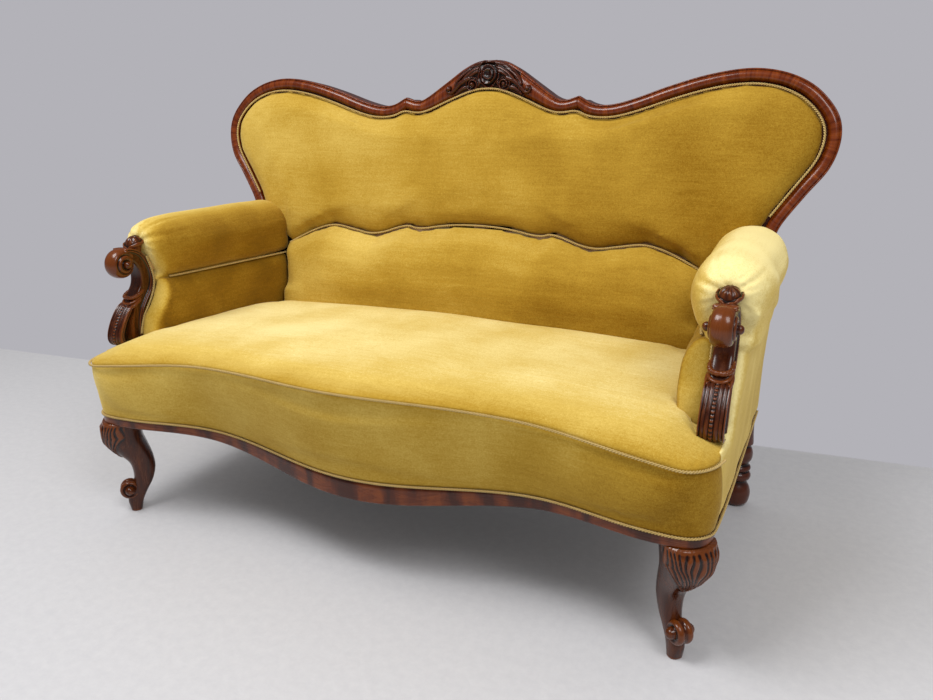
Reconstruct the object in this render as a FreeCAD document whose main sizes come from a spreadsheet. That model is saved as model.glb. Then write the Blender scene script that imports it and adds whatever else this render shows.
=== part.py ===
"""Cabriole sofa: a two-seat settee with a show-wood back, carved arm supports and a sprung seat.

The frame is +Z up and the front faces -Y. The origin is on the floor, in the middle of the sofa's
width and depth. All sizes are in millimetres. Right and left are those of somebody facing the sofa.
"""
import FreeCAD, Part
import math
import os

import Sketcher

doc = FreeCAD.newDocument("CabrioleSofa")

# Driving sizes
SIZES = [
    ("seat_half_width", 738.0, "middle of the sofa to the outer face of a side panel at the rail"),
    ("foot_inset", 48.0, "outer face of a side panel in to the centre of a front foot"),
    ("foot_front", 316.0, "origin forward to the centre of a front foot"),
    ("rear_leg_inset", 26.0, "outer face of a side panel in to the axis of a rear leg"),
    ("rear_leg_back", 372.0, "origin back to the axis of a rear leg"),
    ("belly_front", 359.0, "rail line at the middle of the serpentine front"),
    ("hollow_front", 311.0, "rail line at the hollow of the serpentine"),
    ("corner_front", 364.0, "rail line where the corner starts to turn"),
    ("hollow_place", 370.0, "middle to the deepest point of the hollow"),
    ("corner_inset", 88.0, "outer face of a side panel in to the end of the serpentine"),
    ("corner_radius", 55.0, "radius of the rail line round a front corner"),
    ("frame_back", 394.0, "rear face of the seat frame"),
    ("leg_height", 252.0, "floor to the underside of the seat frame"),
    ("rail_height", 75.0, "height of the seat rails"),
    ("rail_thick", 34.0, "thickness of the front and back seat rails"),
    ("side_rail_thick", 32.0, "thickness of the side seat rails"),
    ("veneer_thick", 8.0, "thickness of the polished front rail"),
    ("front_sag", 56.0, "how far the polished rail dips at the middle"),
    ("gimp_height", 275.0, "lower cord at the corners"),
    ("gimp_sag", 30.0, "how far the lower cord dips at the middle"),
    ("rail_return", 160.0, "how far the polished rail runs back along a side until it ends"),
    ("seam_height", 410.0, "seat seam at the corners"),
    ("seam_rise", 49.0, "how far the seat seam rises at the middle"),
    ("seam_overhang", 64.0, "how far the seat seam stands out over the rail line in the middle"),
    ("corner_overhang", 20.0, "how far it stands out where the corner starts to turn"),
    ("side_overhang", 1.0, "how far it stands out where the corner ends"),
    ("seat_crown", 478.0, "top of the seat at the middle"),
    ("seat_fall", 22.0, "how far the top of the seat falls towards the arms"),
    ("seat_rear", 229.0, "where the seat pad meets the lumbar pad"),
    ("spring_top", 400.0, "top of the seat springs"),
    ("spring_wire", 3.6, "diameter of the spring wire"),
    ("cloth_thick", 1.6, "thickness of webbing, hessian and lining"),
    ("cord_width", 5.0, "diameter of the twisted cord"),
    ("fit_gap", 0.3, "clearance between soft pieces and what they touch"),
    ("curve_play", 1.2, "clearance of a square end behind the curved front rail"),
    ("roll_inset", 32.0, "outer face of a side panel in to the axis of an arm roll"),
    ("roll_height", 666.0, "floor to the axis of an arm roll"),
    ("roll_radius", 74.0, "radius of an arm roll"),
    ("arm_front", 186.0, "front of the arm rolls"),
    ("arm_rear", 290.0, "rear end of the arm pads"),
    ("arm_seam_height", 583.0, "floor to the seam under an arm roll"),
    ("arm_inset_front", 98.0, "outer face of a side panel in to the inner face of an arm, in front"),
    ("arm_inset_rear", 124.0, "outer face of a side panel in to the inner face of an arm, at the back"),
    ("support_inset", 24.5, "outer face of a side panel in to the centre plane of an arm support"),
    ("support_thick", 44.0, "thickness of an arm support"),
    ("scroll_front", 249.0, "origin forward to the eye of the arm scroll"),
    ("scroll_height", 627.0, "floor to the eye of the arm scroll"),
    ("scroll_radius", 40.0, "radius of the arm scroll"),
    ("ear_overhang", 116.0, "how far an ear stands out over the side panel below it"),
    ("crest_height", 1112.0, "floor to the top of the crest"),
    ("crest_front", 379.0, "front face of the moulding at the top of the crest"),
    ("back_lean", 10.25, "lean of the front of the back, in degrees"),
    ("rear_lean", 2.33, "lean of the rear of the back, in degrees"),
    ("moulding_width", 29.0, "width of the polished moulding"),
    ("moulding_thick", 20.0, "thickness of the polished moulding"),
    ("frame_width", 62.0, "width of the frame behind the moulding"),
    ("stile_foot", 640.0, "floor to the lower end of the back frame"),
    ("pad_crown", 24.0, "how far the back pad stands out at its middle"),
    ("lumbar_front", 222.0, "foremost point of the lumbar pad"),
    ("lumbar_tuck", 2.0, "how deep the lumbar seam lies behind the front of the back"),
    ("slat_height", 40.0, "height of the hidden back and arm slats"),
    ("slat_thick", 22.0, "thickness of the hidden back and arm slats"),
    ("dowel_width", 12.0, "diameter of the leg dowels"),
    ("dowel_reach", 34.0, "how far a dowel goes into the leg and into the rail"),
    ("post_inset", 8.0, "inner face of a side rail in to the inner face of a back post"),
    ("muntin_width", 40.0, "width of the hidden uprights of the back"),
    ("strip_width", 50.0, "width of the jute strips"),
    ("lining_thick", 3.0, "thickness of the lined panel behind the back"),
]

# Places across the sofa that follow its width
PLACES = [
    ("foot_spread", "seat_half_width - foot_inset"),
    ("rear_leg_spread", "seat_half_width - rear_leg_inset"),
    ("corner_place", "seat_half_width - corner_inset"),
    ("roll_spread", "seat_half_width - roll_inset"),
    ("arm_inner_front", "seat_half_width - arm_inset_front"),
    ("arm_inner_rear", "seat_half_width - arm_inset_rear"),
    ("support_spread", "seat_half_width - support_inset"),
    ("back_half_width", "seat_half_width + ear_overhang"),
]

sheet = doc.addObject("Spreadsheet::Sheet", "Sizes")
for row, (alias, number, meaning) in enumerate(SIZES, start=1):
    sheet.set("A%d" % row, alias)
    sheet.set("B%d" % row, str(number))
    sheet.set("C%d" % row, meaning)
    sheet.setAlias("B%d" % row, alias)
for row, (alias, sum_of_sizes) in enumerate(PLACES, start=len(SIZES) + 1):
    sheet.set("A%d" % row, alias)
    sheet.set("B%d" % row, "=" + sum_of_sizes)
    sheet.setAlias("B%d" % row, alias)
doc.recompute()

sub_parts = []


def size(alias):
    """The number that the sheet holds for a size."""
    return float(sheet.get(alias))


def vec(x, y, z):
    return FreeCAD.Vector(x, y, z)


def keep(shape_object, label):
    """Give a finished sub-part its name and put it on the list of kept pieces."""
    shape_object.Label = label
    sub_parts.append(shape_object)
    return shape_object


def feature(label, shape):
    """A sub-part whose shape is worked out from the sheet's sizes."""
    item = doc.addObject("Part::Feature", label)
    item.Shape = shape
    item.Placement = shape.Placement
    return keep(item, label)


def mirrored(shape):
    """The same shape on the other side of the middle plane."""
    return shape.mirror(vec(0, 0, 0), vec(1, 0, 0))


def pair(label, shape):
    """A right piece and its mirror image on the left."""
    feature(label + "_right", shape)
    feature(label + "_left", mirrored(shape))


# Curves and solids shared by many pieces

RUN_SHARE = 0.45
LEAST_TURN = math.radians(0.4)


def rounded_edges(points, closed=False):
    """Straight runs between the points, joined by arcs that are tangent to both runs."""
    count = len(points)
    starts = {}
    arcs = {}
    for index in range(count):
        if not closed and index in (0, count - 1):
            starts[index] = (points[index], points[index])
            continue
        before = points[index - 1]
        here = points[index]
        after = points[(index + 1) % count]
        way_in = here.sub(before)
        way_out = after.sub(here)
        shorter = min(way_in.Length, way_out.Length)
        way_in.normalize()
        way_out.normalize()
        turn = way_in.getAngle(way_out)
        if turn < LEAST_TURN:
            starts[index] = (here, here)
            continue
        reach = RUN_SHARE * shorter
        radius = reach / math.tan(turn / 2)
        bisector = way_out.sub(way_in)
        bisector.normalize()
        arc_start = here.sub(way_in * reach)
        arc_end = here.add(way_out * reach)
        middle = here.add(bisector * (radius / math.cos(turn / 2) - radius))
        starts[index] = (arc_start, arc_end)
        arcs[index] = Part.Arc(arc_start, middle, arc_end).toShape()
    edges = []
    last = count if closed else count - 1
    for index in range(last):
        following = (index + 1) % count
        if index in arcs:
            edges.append(arcs[index])
        edges.append(Part.LineSegment(starts[index][1], starts[following][0]).toShape())
    return edges


def outline_face(points, smooth=True):
    """A flat face inside a closed outline, with rounded or sharp corners."""
    if smooth:
        return Part.Face(Part.Wire(rounded_edges(points, closed=True)))
    return Part.Face(Part.makePolygon(points + [points[0]]))


def loft(sections, ruled=True, smooth=False):
    """A solid through closed sections that all have the same number of points."""
    if smooth:
        wires = [Part.Wire(rounded_edges(points, closed=True)) for points in sections]
    else:
        wires = [Part.makePolygon(points + [points[0]]) for points in sections]
    return Part.makeLoft(wires, True, ruled)


def box(low, high):
    """A box between two corners."""
    return Part.makeBox(high[0] - low[0], high[1] - low[1], high[2] - low[2], vec(*low))


cord_lengths = {}


def cord(label, points):
    """A cord of round section along straight runs and tangent arcs."""
    radius = size("cord_width") / 2
    path = Part.Wire(rounded_edges(points))
    start = points[0]
    heading = points[1].sub(points[0])
    ring = Part.Wire([Part.Circle(start, heading, radius).toShape()])
    solid = path.makePipeShell([ring], True, False)
    expected = math.pi * radius ** 2 * path.Length
    cord_lengths[label] = (path.Length, solid.Volume / expected)
    return solid


# The plan of the seat: a serpentine front with rounded corners

corner_radius = size("corner_radius")
corner_back = size("corner_front") - corner_radius
corner_centre = size("seat_half_width") - corner_radius
FRONT_STEPS = 10
CORNER_STEPS = 4


def wave(place, start, end, at_start, at_end):
    """A half cosine from one value to another."""
    share = (place - start) / (end - start)
    share = min(max(share, 0.0), 1.0)
    return at_start + (at_end - at_start) * (1 - math.cos(math.pi * share)) / 2


def front_line(x):
    """How far forward the rail line lies, between the two corners."""
    x = abs(x)
    hollow_place = size("hollow_place")
    if x <= hollow_place:
        return wave(x, 0.0, hollow_place, size("belly_front"), size("hollow_front"))
    return wave(x, hollow_place, size("corner_place"), size("hollow_front"), size("corner_front"))


def dipped(x, level, dip):
    """A height that is level at the corners and lower at the middle."""
    return wave(abs(x), 0.0, 0.9 * size("corner_place"), level - dip, level)


def seam_level(x):
    """Height of the seat seam."""
    share = min(abs(x) / corner_centre, 1.0)
    return size("seam_height") + size("seam_rise") * (1 - share ** 2)


def seam_stand(x):
    """How far forward of the rail line the seat seam stands, between the two corners."""
    return wave(abs(x), 0.37 * corner_centre, corner_centre, size("seam_overhang"), size("corner_overhang"))


def stood_out(place, outward, distance):
    """A point of the rail line moved forward, or outwards where the corner has turned to the side."""
    ahead = vec(0, -1, 0) if outward.y < -0.01 else outward
    return place.add(ahead * distance)


def half_front():
    """Stations from the middle to the right corner: place, outward direction and overhang."""
    stations = []
    for step in range(FRONT_STEPS + 1):
        x = size("corner_place") * step / FRONT_STEPS
        slope = (front_line(x + 1.0) - front_line(x - 1.0)) / 2.0
        outward = vec(-slope if 0 < step < FRONT_STEPS else 0.0, -1.0, 0.0)
        outward.normalize()
        stations.append((vec(x, -front_line(x), 0), outward, seam_stand(x)))
    centre = vec(corner_centre, -corner_back, 0)
    for step in range(CORNER_STEPS + 1):
        angle = math.pi / 2 * step / CORNER_STEPS
        outward = vec(math.sin(angle), -math.cos(angle), 0)
        overhang = wave(angle, 0.0, math.pi / 2, size("corner_overhang"), size("side_overhang"))
        stations.append((centre.add(outward * corner_radius), outward, overhang))
    return stations


def whole_front():
    """The same stations from the left corner to the right corner."""
    right = half_front()
    left = []
    for place, outward, overhang in reversed(right[1:]):
        left.append((vec(-place.x, place.y, 0), vec(-outward.x, outward.y, 0), overhang))
    return left + right


def along_front(offset):
    """Points beside the rail line, moved out by an offset or in by a negative one."""
    return [place.add(outward * offset) for place, outward, overhang in whole_front()]


gap = size("fit_gap")
leg_height = size("leg_height")
rail_top = leg_height + size("rail_height")
veneer = size("veneer_thick")
core_inner = veneer + size("rail_thick")
side_face = size("seat_half_width") - veneer
side_inner = side_face - size("side_rail_thick")
frame_back = size("frame_back")


# Sketches whose every corner is bound to the sheet

def origin_plane(body, role):
    return [item for item in body.Origin.OriginFeatures if item.Role == role][0]


def bound_sketch(body, name, role, corners):
    """A closed outline on an origin plane. Each corner is a pair of expressions."""
    sketch = body.newObject("Sketcher::SketchObject", name)
    sketch.AttachmentSupport = [(origin_plane(body, role), "")]
    sketch.MapMode = "FlatFace"
    count = len(corners)
    rough = []
    for index in range(count):
        angle = 2 * math.pi * index / count
        rough.append(vec(100 * math.cos(angle), 100 * math.sin(angle), 0))
    for index in range(count):
        sketch.addGeometry(Part.LineSegment(rough[index], rough[(index + 1) % count]), False)
    for index in range(count):
        sketch.addConstraint(Sketcher.Constraint("Coincident", index, 2, (index + 1) % count, 1))
    for index, (across, up) in enumerate(corners):
        for kind, number, text in (("DistanceX", rough[index].x, across), ("DistanceY", rough[index].y, up)):
            place = sketch.addConstraint(Sketcher.Constraint(kind, -1, 1, index, 1, number))
            sketch.setExpression("Constraints[%d]" % place, text)
    return sketch


def padded_body(label, role, corners, length, base):
    """A body padded from one bound sketch, put in place by three expressions."""
    body = doc.addObject("PartDesign::Body", label)
    sketch = bound_sketch(body, label + "_outline", role, corners)
    pad = body.newObject("PartDesign::Pad", label + "_pad")
    pad.Profile = sketch
    pad.setExpression("Length", length)
    body.Tip = pad
    for axis, text in zip("xyz", base):
        body.setExpression(".Placement.Base." + axis, text)
    return body


def bored(body, label, spots, diameter, depth):
    """Round holes up into a body from its underside. Each spot is a pair of expressions."""
    doc.recompute()
    before = body.Shape.Volume
    sketch = body.newObject("Sketcher::SketchObject", label + "_bores")
    sketch.AttachmentSupport = [(origin_plane(body, "XY_Plane"), "")]
    sketch.MapMode = "FlatFace"
    for index, (across, along) in enumerate(spots):
        sketch.addGeometry(Part.Circle(vec(10 * index, 0, 0), vec(0, 0, 1), 5), False)
        for kind, text in (("DistanceX", across), ("DistanceY", along)):
            place = sketch.addConstraint(Sketcher.Constraint(kind, -1, 1, index, 3, 10.0))
            sketch.setExpression("Constraints[%d]" % place, text)
        place = sketch.addConstraint(Sketcher.Constraint("Diameter", index, 10.0))
        sketch.setExpression("Constraints[%d]" % place, diameter)
    pocket = body.newObject("PartDesign::Pocket", label + "_bore")
    pocket.Profile = sketch
    pocket.Reversed = True
    pocket.setExpression("Length", depth)
    body.Tip = pocket
    doc.recompute()
    if body.Shape.Volume >= before:
        raise RuntimeError("no hole was cut in " + label)


# Seat frame

HOLE_PLAY = 0.1
dowel_hole = size("dowel_width") / 2 + HOLE_PLAY
front_dowel = vec(corner_centre + 0.36 * corner_radius, -corner_back - 0.36 * corner_radius, 0)
rear_dowel = vec((side_inner + side_face) / 2, size("rear_leg_back"), 0)


def dowel_bore(spot):
    """The hole that a leg dowel fills, half in the leg and half in the rail."""
    reach = size("dowel_reach") + HOLE_PLAY
    return Part.makeCylinder(dowel_hole, 2 * reach, vec(spot.x, spot.y, leg_height - reach))


RETURN_END = 1.0


def veneer_section(place, outward, low, high):
    """The polished rail cut across at one place of the rail line."""
    inside = place.sub(outward * veneer)
    return [
        vec(inside.x, inside.y, low),
        vec(place.x, place.y, low),
        vec(place.x, place.y, high),
        vec(inside.x, inside.y, high),
    ]


def make_front_rail():
    """The serpentine core behind the upholstery and the polished rail in front of it."""
    outer = along_front(-veneer - gap / 3)
    inner = list(reversed(along_front(-core_inner)))
    lowest = leg_height - size("front_sag")
    plan = outline_face(outer + inner, smooth=False)
    tall = plan.extrude(vec(0, 0, rail_top - lowest)).translated(vec(0, 0, lowest))
    reach = size("seat_half_width") + 10
    xs = [-reach] + [place.x for place, outward, overhang in whole_front()][5:-5] + [reach]
    below = [vec(x, -500, dipped(x, leg_height, size("front_sag"))) for x in xs]
    below += [vec(reach, -500, 0), vec(-reach, -500, 0)]
    under = outline_face(below, smooth=False).extrude(vec(0, 400, 0))
    core = tall.cut(under)
    for side in (1, -1):
        core = core.cut(dowel_bore(vec(side * front_dowel.x, front_dowel.y, 0)))
    feature("front_rail_core", core)
    sections = []
    for place, outward, overhang in whole_front():
        low = dipped(place.x, leg_height, size("front_sag"))
        high = dipped(place.x, size("gimp_height"), size("gimp_sag"))
        sections.append(veneer_section(place, outward, low, high))
    for side in (1, -1):
        end = vec(side * size("seat_half_width"), size("rail_return") - corner_back, 0)
        section = veneer_section(end, vec(side, 0, 0), leg_height, leg_height + RETURN_END)
        sections.insert(len(sections) if side > 0 else 0, section)
    feature("front_polished_rail", loft(sections))


# The stretcher is cut down between its two ends to clear the springs
STRETCHER_SHOULDER = 60
STRETCHER_SLOPE = 60
BLOCK_LEG = 46.0
BLOCK_PLAY = 4.0


def make_seat_rails():
    """Side rails, back rail, stretcher and corner blocks."""
    for side, sign in (("right", "1"), ("left", "-1")):
        label = "seat_side_rail_" + side
        inner = sign + " * (Sizes.seat_half_width - Sizes.veneer_thick - Sizes.side_rail_thick)"
        outer = sign + " * (Sizes.seat_half_width - Sizes.veneer_thick)"
        front = "Sizes.corner_radius - Sizes.corner_front"
        corners = [
            (inner, front),
            (outer, front),
            (outer, "Sizes.frame_back"),
            (inner, "Sizes.frame_back"),
        ]
        base = ("0 mm", "0 mm", "Sizes.leg_height")
        body = padded_body(label, "XY_Plane", corners, "Sizes.rail_height", base)
        across = sign + " * (Sizes.seat_half_width - Sizes.veneer_thick - Sizes.side_rail_thick / 2)"
        spots = [(across, "Sizes.rear_leg_back")]
        bored(body, label, spots, "Sizes.dowel_width + 0.2", "Sizes.dowel_reach + 0.1")
        keep(body, label)
    reach = "(Sizes.seat_half_width - Sizes.veneer_thick - Sizes.side_rail_thick)"
    corners = [
        ("-" + reach, "Sizes.frame_back - Sizes.rail_thick"),
        (reach, "Sizes.frame_back - Sizes.rail_thick"),
        (reach, "Sizes.frame_back"),
        ("-" + reach, "Sizes.frame_back"),
    ]
    base = ("0 mm", "0 mm", "Sizes.leg_height")
    keep(padded_body("seat_back_rail", "XY_Plane", corners, "Sizes.rail_height", base), "seat_back_rail")
    front = "Sizes.veneer_thick + Sizes.rail_thick - Sizes.belly_front + Sizes.curve_play"
    back = "Sizes.frame_back - Sizes.rail_thick"
    dish = "Sizes.rail_height / 3"
    corners = [
        (front, "0 mm"),
        (back, "0 mm"),
        (back, "Sizes.rail_height"),
        (back + " - %d" % STRETCHER_SHOULDER, "Sizes.rail_height"),
        (back + " - %d" % (STRETCHER_SHOULDER + STRETCHER_SLOPE), dish),
        (front + " + %d" % (STRETCHER_SHOULDER + STRETCHER_SLOPE), dish),
        (front + " + %d" % STRETCHER_SHOULDER, "Sizes.rail_height"),
        (front, "Sizes.rail_height"),
    ]
    base = ("-Sizes.rail_thick / 2", "0 mm", "Sizes.leg_height")
    keep(padded_body("seat_stretcher", "YZ_Plane", corners, "Sizes.rail_thick", base), "seat_stretcher")
    low = leg_height + BLOCK_PLAY
    high = rail_top - BLOCK_PLAY
    blocks = []
    for side in (1, -1):
        corner = vec(side * side_inner, frame_back - size("rail_thick"), low)
        rear = [corner, corner.add(vec(-side * BLOCK_LEG, 0, 0)), corner.add(vec(0, -BLOCK_LEG, 0))]
        blocks.append(outline_face(rear, smooth=False).extrude(vec(0, 0, high - low)))
        corner = vec(side * side_inner, -corner_back, low)
        inner_radius = corner_radius - core_inner
        front = [corner, corner.add(vec(-side * inner_radius, 0, 0)), corner.add(vec(0, BLOCK_LEG, 0))]
        blocks.append(outline_face(front, smooth=False).extrude(vec(0, 0, high - low)))
    feature("corner_blocks", Part.makeCompound(blocks))


# Legs

# Each station of a front leg: height, outward shift, half depth and half width
LEG_STATIONS = [
    (0.0, -2.0, 13.0, 14.0),
    (28.0, -3.0, 19.0, 15.5),
    (50.0, -12.0, 20.5, 16.5),
    (80.0, -26.0, 23.0, 19.0),
    (111.0, -31.0, 27.0, 22.0),
    (136.0, -27.0, 30.5, 25.0),
    (160.0, -14.5, 38.0, 30.0),
    (182.0, -1.5, 44.0, 36.0),
    (205.0, 7.5, 46.0, 43.0),
    (232.0, 9.0, 46.0, 48.0),
    (252.0, 6.0, 44.0, 50.0),
]
LEG_DRAWN_HEIGHT = 252.0
TOE_SHIFT = 8.0
TOE_HEIGHT = 60.0
TOE_RADIUS = 25.0
TOE_WIDTH = 33.0
TOE_BALL = 11.0
CORNER_CUT = 0.42


def leg_section(shift, half_depth, half_width, height):
    """Eight points: a rounded square that is deeper along the leg's own outward direction."""
    points = []
    for along, across in ((1, 1), (-1, 1), (-1, -1), (1, -1)):
        first = vec(shift + along * half_depth, across * half_width * CORNER_CUT, height)
        second = vec(shift + along * half_depth * CORNER_CUT, across * half_width, height)
        points += [first, second] if along * across > 0 else [second, first]
    return points


def make_front_legs():
    """Cabriole legs that step outwards at 45 degrees, with a scroll toe and a ball on each side."""
    stretch = leg_height / LEG_DRAWN_HEIGHT
    sections = []
    for height, shift, half_depth, half_width in LEG_STATIONS:
        sections.append(leg_section(shift, half_depth, half_width, height * stretch))
    leg = loft(sections, ruled=False, smooth=True)
    toe_height = TOE_HEIGHT * stretch
    toe = Part.makeCylinder(TOE_RADIUS, TOE_WIDTH, vec(TOE_SHIFT, -TOE_WIDTH / 2, toe_height), vec(0, 1, 0))
    leg = leg.fuse(toe)
    for side in (1, -1):
        ball = Part.makeSphere(TOE_BALL, vec(TOE_SHIFT - 3, side * (TOE_WIDTH / 2 + 4), toe_height - 6))
        leg = leg.fuse(ball)
    leg.rotate(vec(0, 0, 0), vec(0, 0, 1), -45)
    leg.translate(vec(size("foot_spread"), -size("foot_front"), 0))
    pair("front_leg", leg.cut(dowel_bore(front_dowel)))


# Each turning of a rear leg: name, height of its middle, outer radius and half height
TURNINGS = [
    ("foot", 34.0, 34.0, 34.0),
    ("lower_ring", 83.0, 31.0, 12.0),
    ("upper_ring", 104.0, 29.5, 9.5),
    ("ball", 142.0, 31.0, 23.0),
]
BELL_FOOT = 166.0
BELL_WIDTH = 30.0
BELL_NECK = 26.0
CORE_RADIUS = 22.0
FOOT_FLAT = 14.0


def make_rear_legs():
    """Turned legs: a bulb foot, two rings, a ball and a bell under the rail."""
    stretch = leg_height / LEG_DRAWN_HEIGHT
    core = Part.makeCylinder(CORE_RADIUS, leg_height - FOOT_FLAT, vec(0, 0, FOOT_FLAT))
    leg = core.fuse(Part.makeCone(BELL_WIDTH, BELL_NECK, leg_height - BELL_FOOT * stretch,
                                  vec(0, 0, BELL_FOOT * stretch)))
    for name, height, radius, half in TURNINGS:
        middle = height * stretch
        if name == "foot":
            bulb = Part.makeSphere(half, vec(0, 0, middle))
            bulb = bulb.common(box((-90, -90, 0.0), (90, 90, 3 * half)))
            sole = Part.makeCone(FOOT_FLAT + 4, FOOT_FLAT + 12, FOOT_FLAT, vec(0, 0, 0))
            leg = leg.fuse(bulb).fuse(sole)
        else:
            leg = leg.fuse(Part.makeTorus(radius - half, half, vec(0, 0, middle)))
    leg.translate(vec(size("rear_leg_spread"), size("rear_leg_back"), 0))
    pair("rear_leg", leg.removeSplitter().cut(dowel_bore(rear_dowel)))


def make_dowels():
    """One beech dowel above each leg."""
    group = []
    for side in (1, -1):
        for spot in (front_dowel, rear_dowel):
            name = "dowel_%d" % (len(group) + 1)
            item = doc.addObject("Part::Cylinder", name)
            item.setExpression("Radius", "Sizes.dowel_width / 2")
            item.setExpression("Height", "2 * Sizes.dowel_reach")
            item.Placement.Base = vec(side * spot.x, spot.y, leg_height - size("dowel_reach"))
            group.append(item)
    dowels = doc.addObject("Part::Compound", "leg_dowels")
    dowels.Links = group
    keep(dowels, "leg_dowels")


# Springing

DRAWN_SIDE_RAIL = 698.0
SPRING_COLUMNS = [place * side_inner / DRAWN_SIDE_RAIL for place in (90.0, 270.0, 450.0, 610.0)]
SPRING_ROWS = (-165.0, 25.0, 215.0)
SPRING_TURNS = 4
SPRING_FOOT_RADIUS = 44.0
SPRING_WAIST_RADIUS = 27.0


def seat_front_inner(x):
    """The inner face of the front rail core at a place across the seat."""
    return core_inner - front_line(x)


def make_seat_webbing():
    """Jute strips under the seat frame, the long ones below the short ones."""
    thick = size("cloth_thick")
    strip = size("strip_width")
    strips = []
    for x in [side * place for place in SPRING_COLUMNS for side in (1, -1)]:
        near = x - strip / 2
        far = x + strip / 2
        front = max(seat_front_inner(near), seat_front_inner(far)) + 3 * gap
        high = leg_height - gap / 3
        strips.append(box((near, front, high - thick), (far, frame_back - 6, high)))
    for y in SPRING_ROWS:
        high = leg_height - gap / 3 - thick - gap / 3
        reach = side_face - 6
        strips.append(box((-reach, y - strip / 2, high - thick), (reach, y + strip / 2, high)))
    feature("seat_webbing", Part.makeCompound(strips))


def make_springs():
    """Hourglass coil springs that stand on the webbing in rows of eight."""
    wire = size("spring_wire")
    low = leg_height + gap + wire / 2
    high = size("spring_top") - wire / 2
    middle = (low + high) / 2

    def coil_point(turn):
        angle = 2 * math.pi * (turn + 0.25)
        height = low + (high - low) * turn / SPRING_TURNS
        from_middle = abs(height - middle) / (high - middle)
        radius = SPRING_WAIST_RADIUS + (SPRING_FOOT_RADIUS - SPRING_WAIST_RADIUS) * from_middle ** 1.5
        return vec(radius * math.cos(angle), radius * math.sin(angle), height)

    edges = []
    quarters = 4 * SPRING_TURNS
    for quarter in range(quarters):
        points = [coil_point(quarter / 4 + step) for step in (0.0, 0.125, 0.25)]
        edges.append(Part.Arc(*points).toShape())
    path = Part.Wire(edges)
    heading = edges[0].tangentAt(edges[0].FirstParameter)
    ring = Part.Wire([Part.Circle(coil_point(0), heading, wire / 2).toShape()])
    coil = path.makePipeShell([ring], True, False)
    springs = []
    for x in SPRING_COLUMNS:
        for y in SPRING_ROWS:
            for side in (1, -1):
                springs.append(coil.translated(vec(side * x, y, 0)))
    clear = (high - low) / SPRING_TURNS - wire
    print("seat springs: %d, each of %d turns %.1f mm apart" % (len(springs), SPRING_TURNS, clear))
    feature("seat_springs", Part.makeCompound(springs))


def seat_floor(inset, low, high, rear, reach):
    """A flat sheet inside the seat frame, with the serpentine line in front."""
    front = [point for point in along_front(-core_inner - inset) if abs(point.x) <= reach]
    points = [vec(-reach, rear, 0), vec(-reach, front[0].y, 0)] + front
    points += [vec(reach, front[-1].y, 0), vec(reach, rear, 0)]
    return outline_face(points, smooth=False).extrude(vec(0, 0, high - low)).translated(vec(0, 0, low))


HESSIAN_PLAY = 8.0
DUST_COVER_INSET = 88.0


def make_seat_cloths():
    """Hessian over the springs and the dust cover under the seat."""
    thick = size("cloth_thick")
    low = size("spring_top") + gap
    reach = size("arm_inner_rear") - HESSIAN_PLAY
    feature("spring_hessian", seat_floor(gap, low, low + thick, size("seat_rear") - 1, reach))
    high = leg_height - 2 * thick - 2 * gap
    reach = side_inner - DUST_COVER_INSET
    feature("dust_cover", seat_floor(gap, high - thick, high, frame_back - 20, reach))


# Seat upholstery

# Rings up the face of the border: share of the overhang, and share of the way up to the seam
BORDER_RINGS = [(0.40, 0.33), (0.84, 0.74), (1.0, 1.0)]


def border_section(place, outward, overhang):
    """The stuffed border from the polished rail up to the seat seam, and in over the core."""
    low = dipped(place.x, size("gimp_height"), size("gimp_sag")) + gap

    def at(offset, share):
        spot = place.add(outward * offset) if offset < 0 else stood_out(place, outward, offset)
        return vec(spot.x, spot.y, low + (seam_level(spot.x) - low) * share)

    inside = place.sub(outward * core_inner)
    behind = place.sub(outward * veneer)
    section = [at(-veneer, 0.0), at(-1.0, 0.0)]
    section += [at(reach * overhang, share) for reach, share in BORDER_RINGS]
    section += [
        at(-core_inner, 1.0),
        vec(inside.x, inside.y, rail_top + gap),
        vec(behind.x, behind.y, rail_top + gap),
    ]
    return section


def lumbar_share(x):
    """How much of its full depth the lumbar pad has at a place across the sofa."""
    return wave(abs(x), 0.74 * size("arm_inner_rear"), size("arm_inner_rear"), 1.0, 0.15)


def seat_section(x):
    """The seat pad cut across at a place between the arms."""
    seam = seam_level(x)
    crown = size("seat_crown") - size("seat_fall") * (abs(x) / size("corner_place")) ** 2
    front = -front_line(x) - seam_stand(x)
    inner = seat_front_inner(x) + size("curve_play")
    low = size("spring_top") + 2 * gap + size("cloth_thick")
    rear = size("seat_rear")
    return [
        vec(x, front, seam + gap),
        vec(x, front + 6, seam + 0.4 * (crown - seam)),
        vec(x, front + 42, seam + 0.75 * (crown - seam)),
        vec(x, front + 150, crown),
        vec(x, rear - 130, crown),
        vec(x, rear, crown - 14),
        vec(x, rear, low),
        vec(x, inner, low),
        vec(x, inner, seam + gap),
    ]


SEAT_STEPS = 16

# Rings of a front corner of the seat: how far in from the seam, and how far above it
CORNER_RINGS = [(0.0, 0.0), (2.0, 7.0), (16.0, 15.0)]


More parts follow.
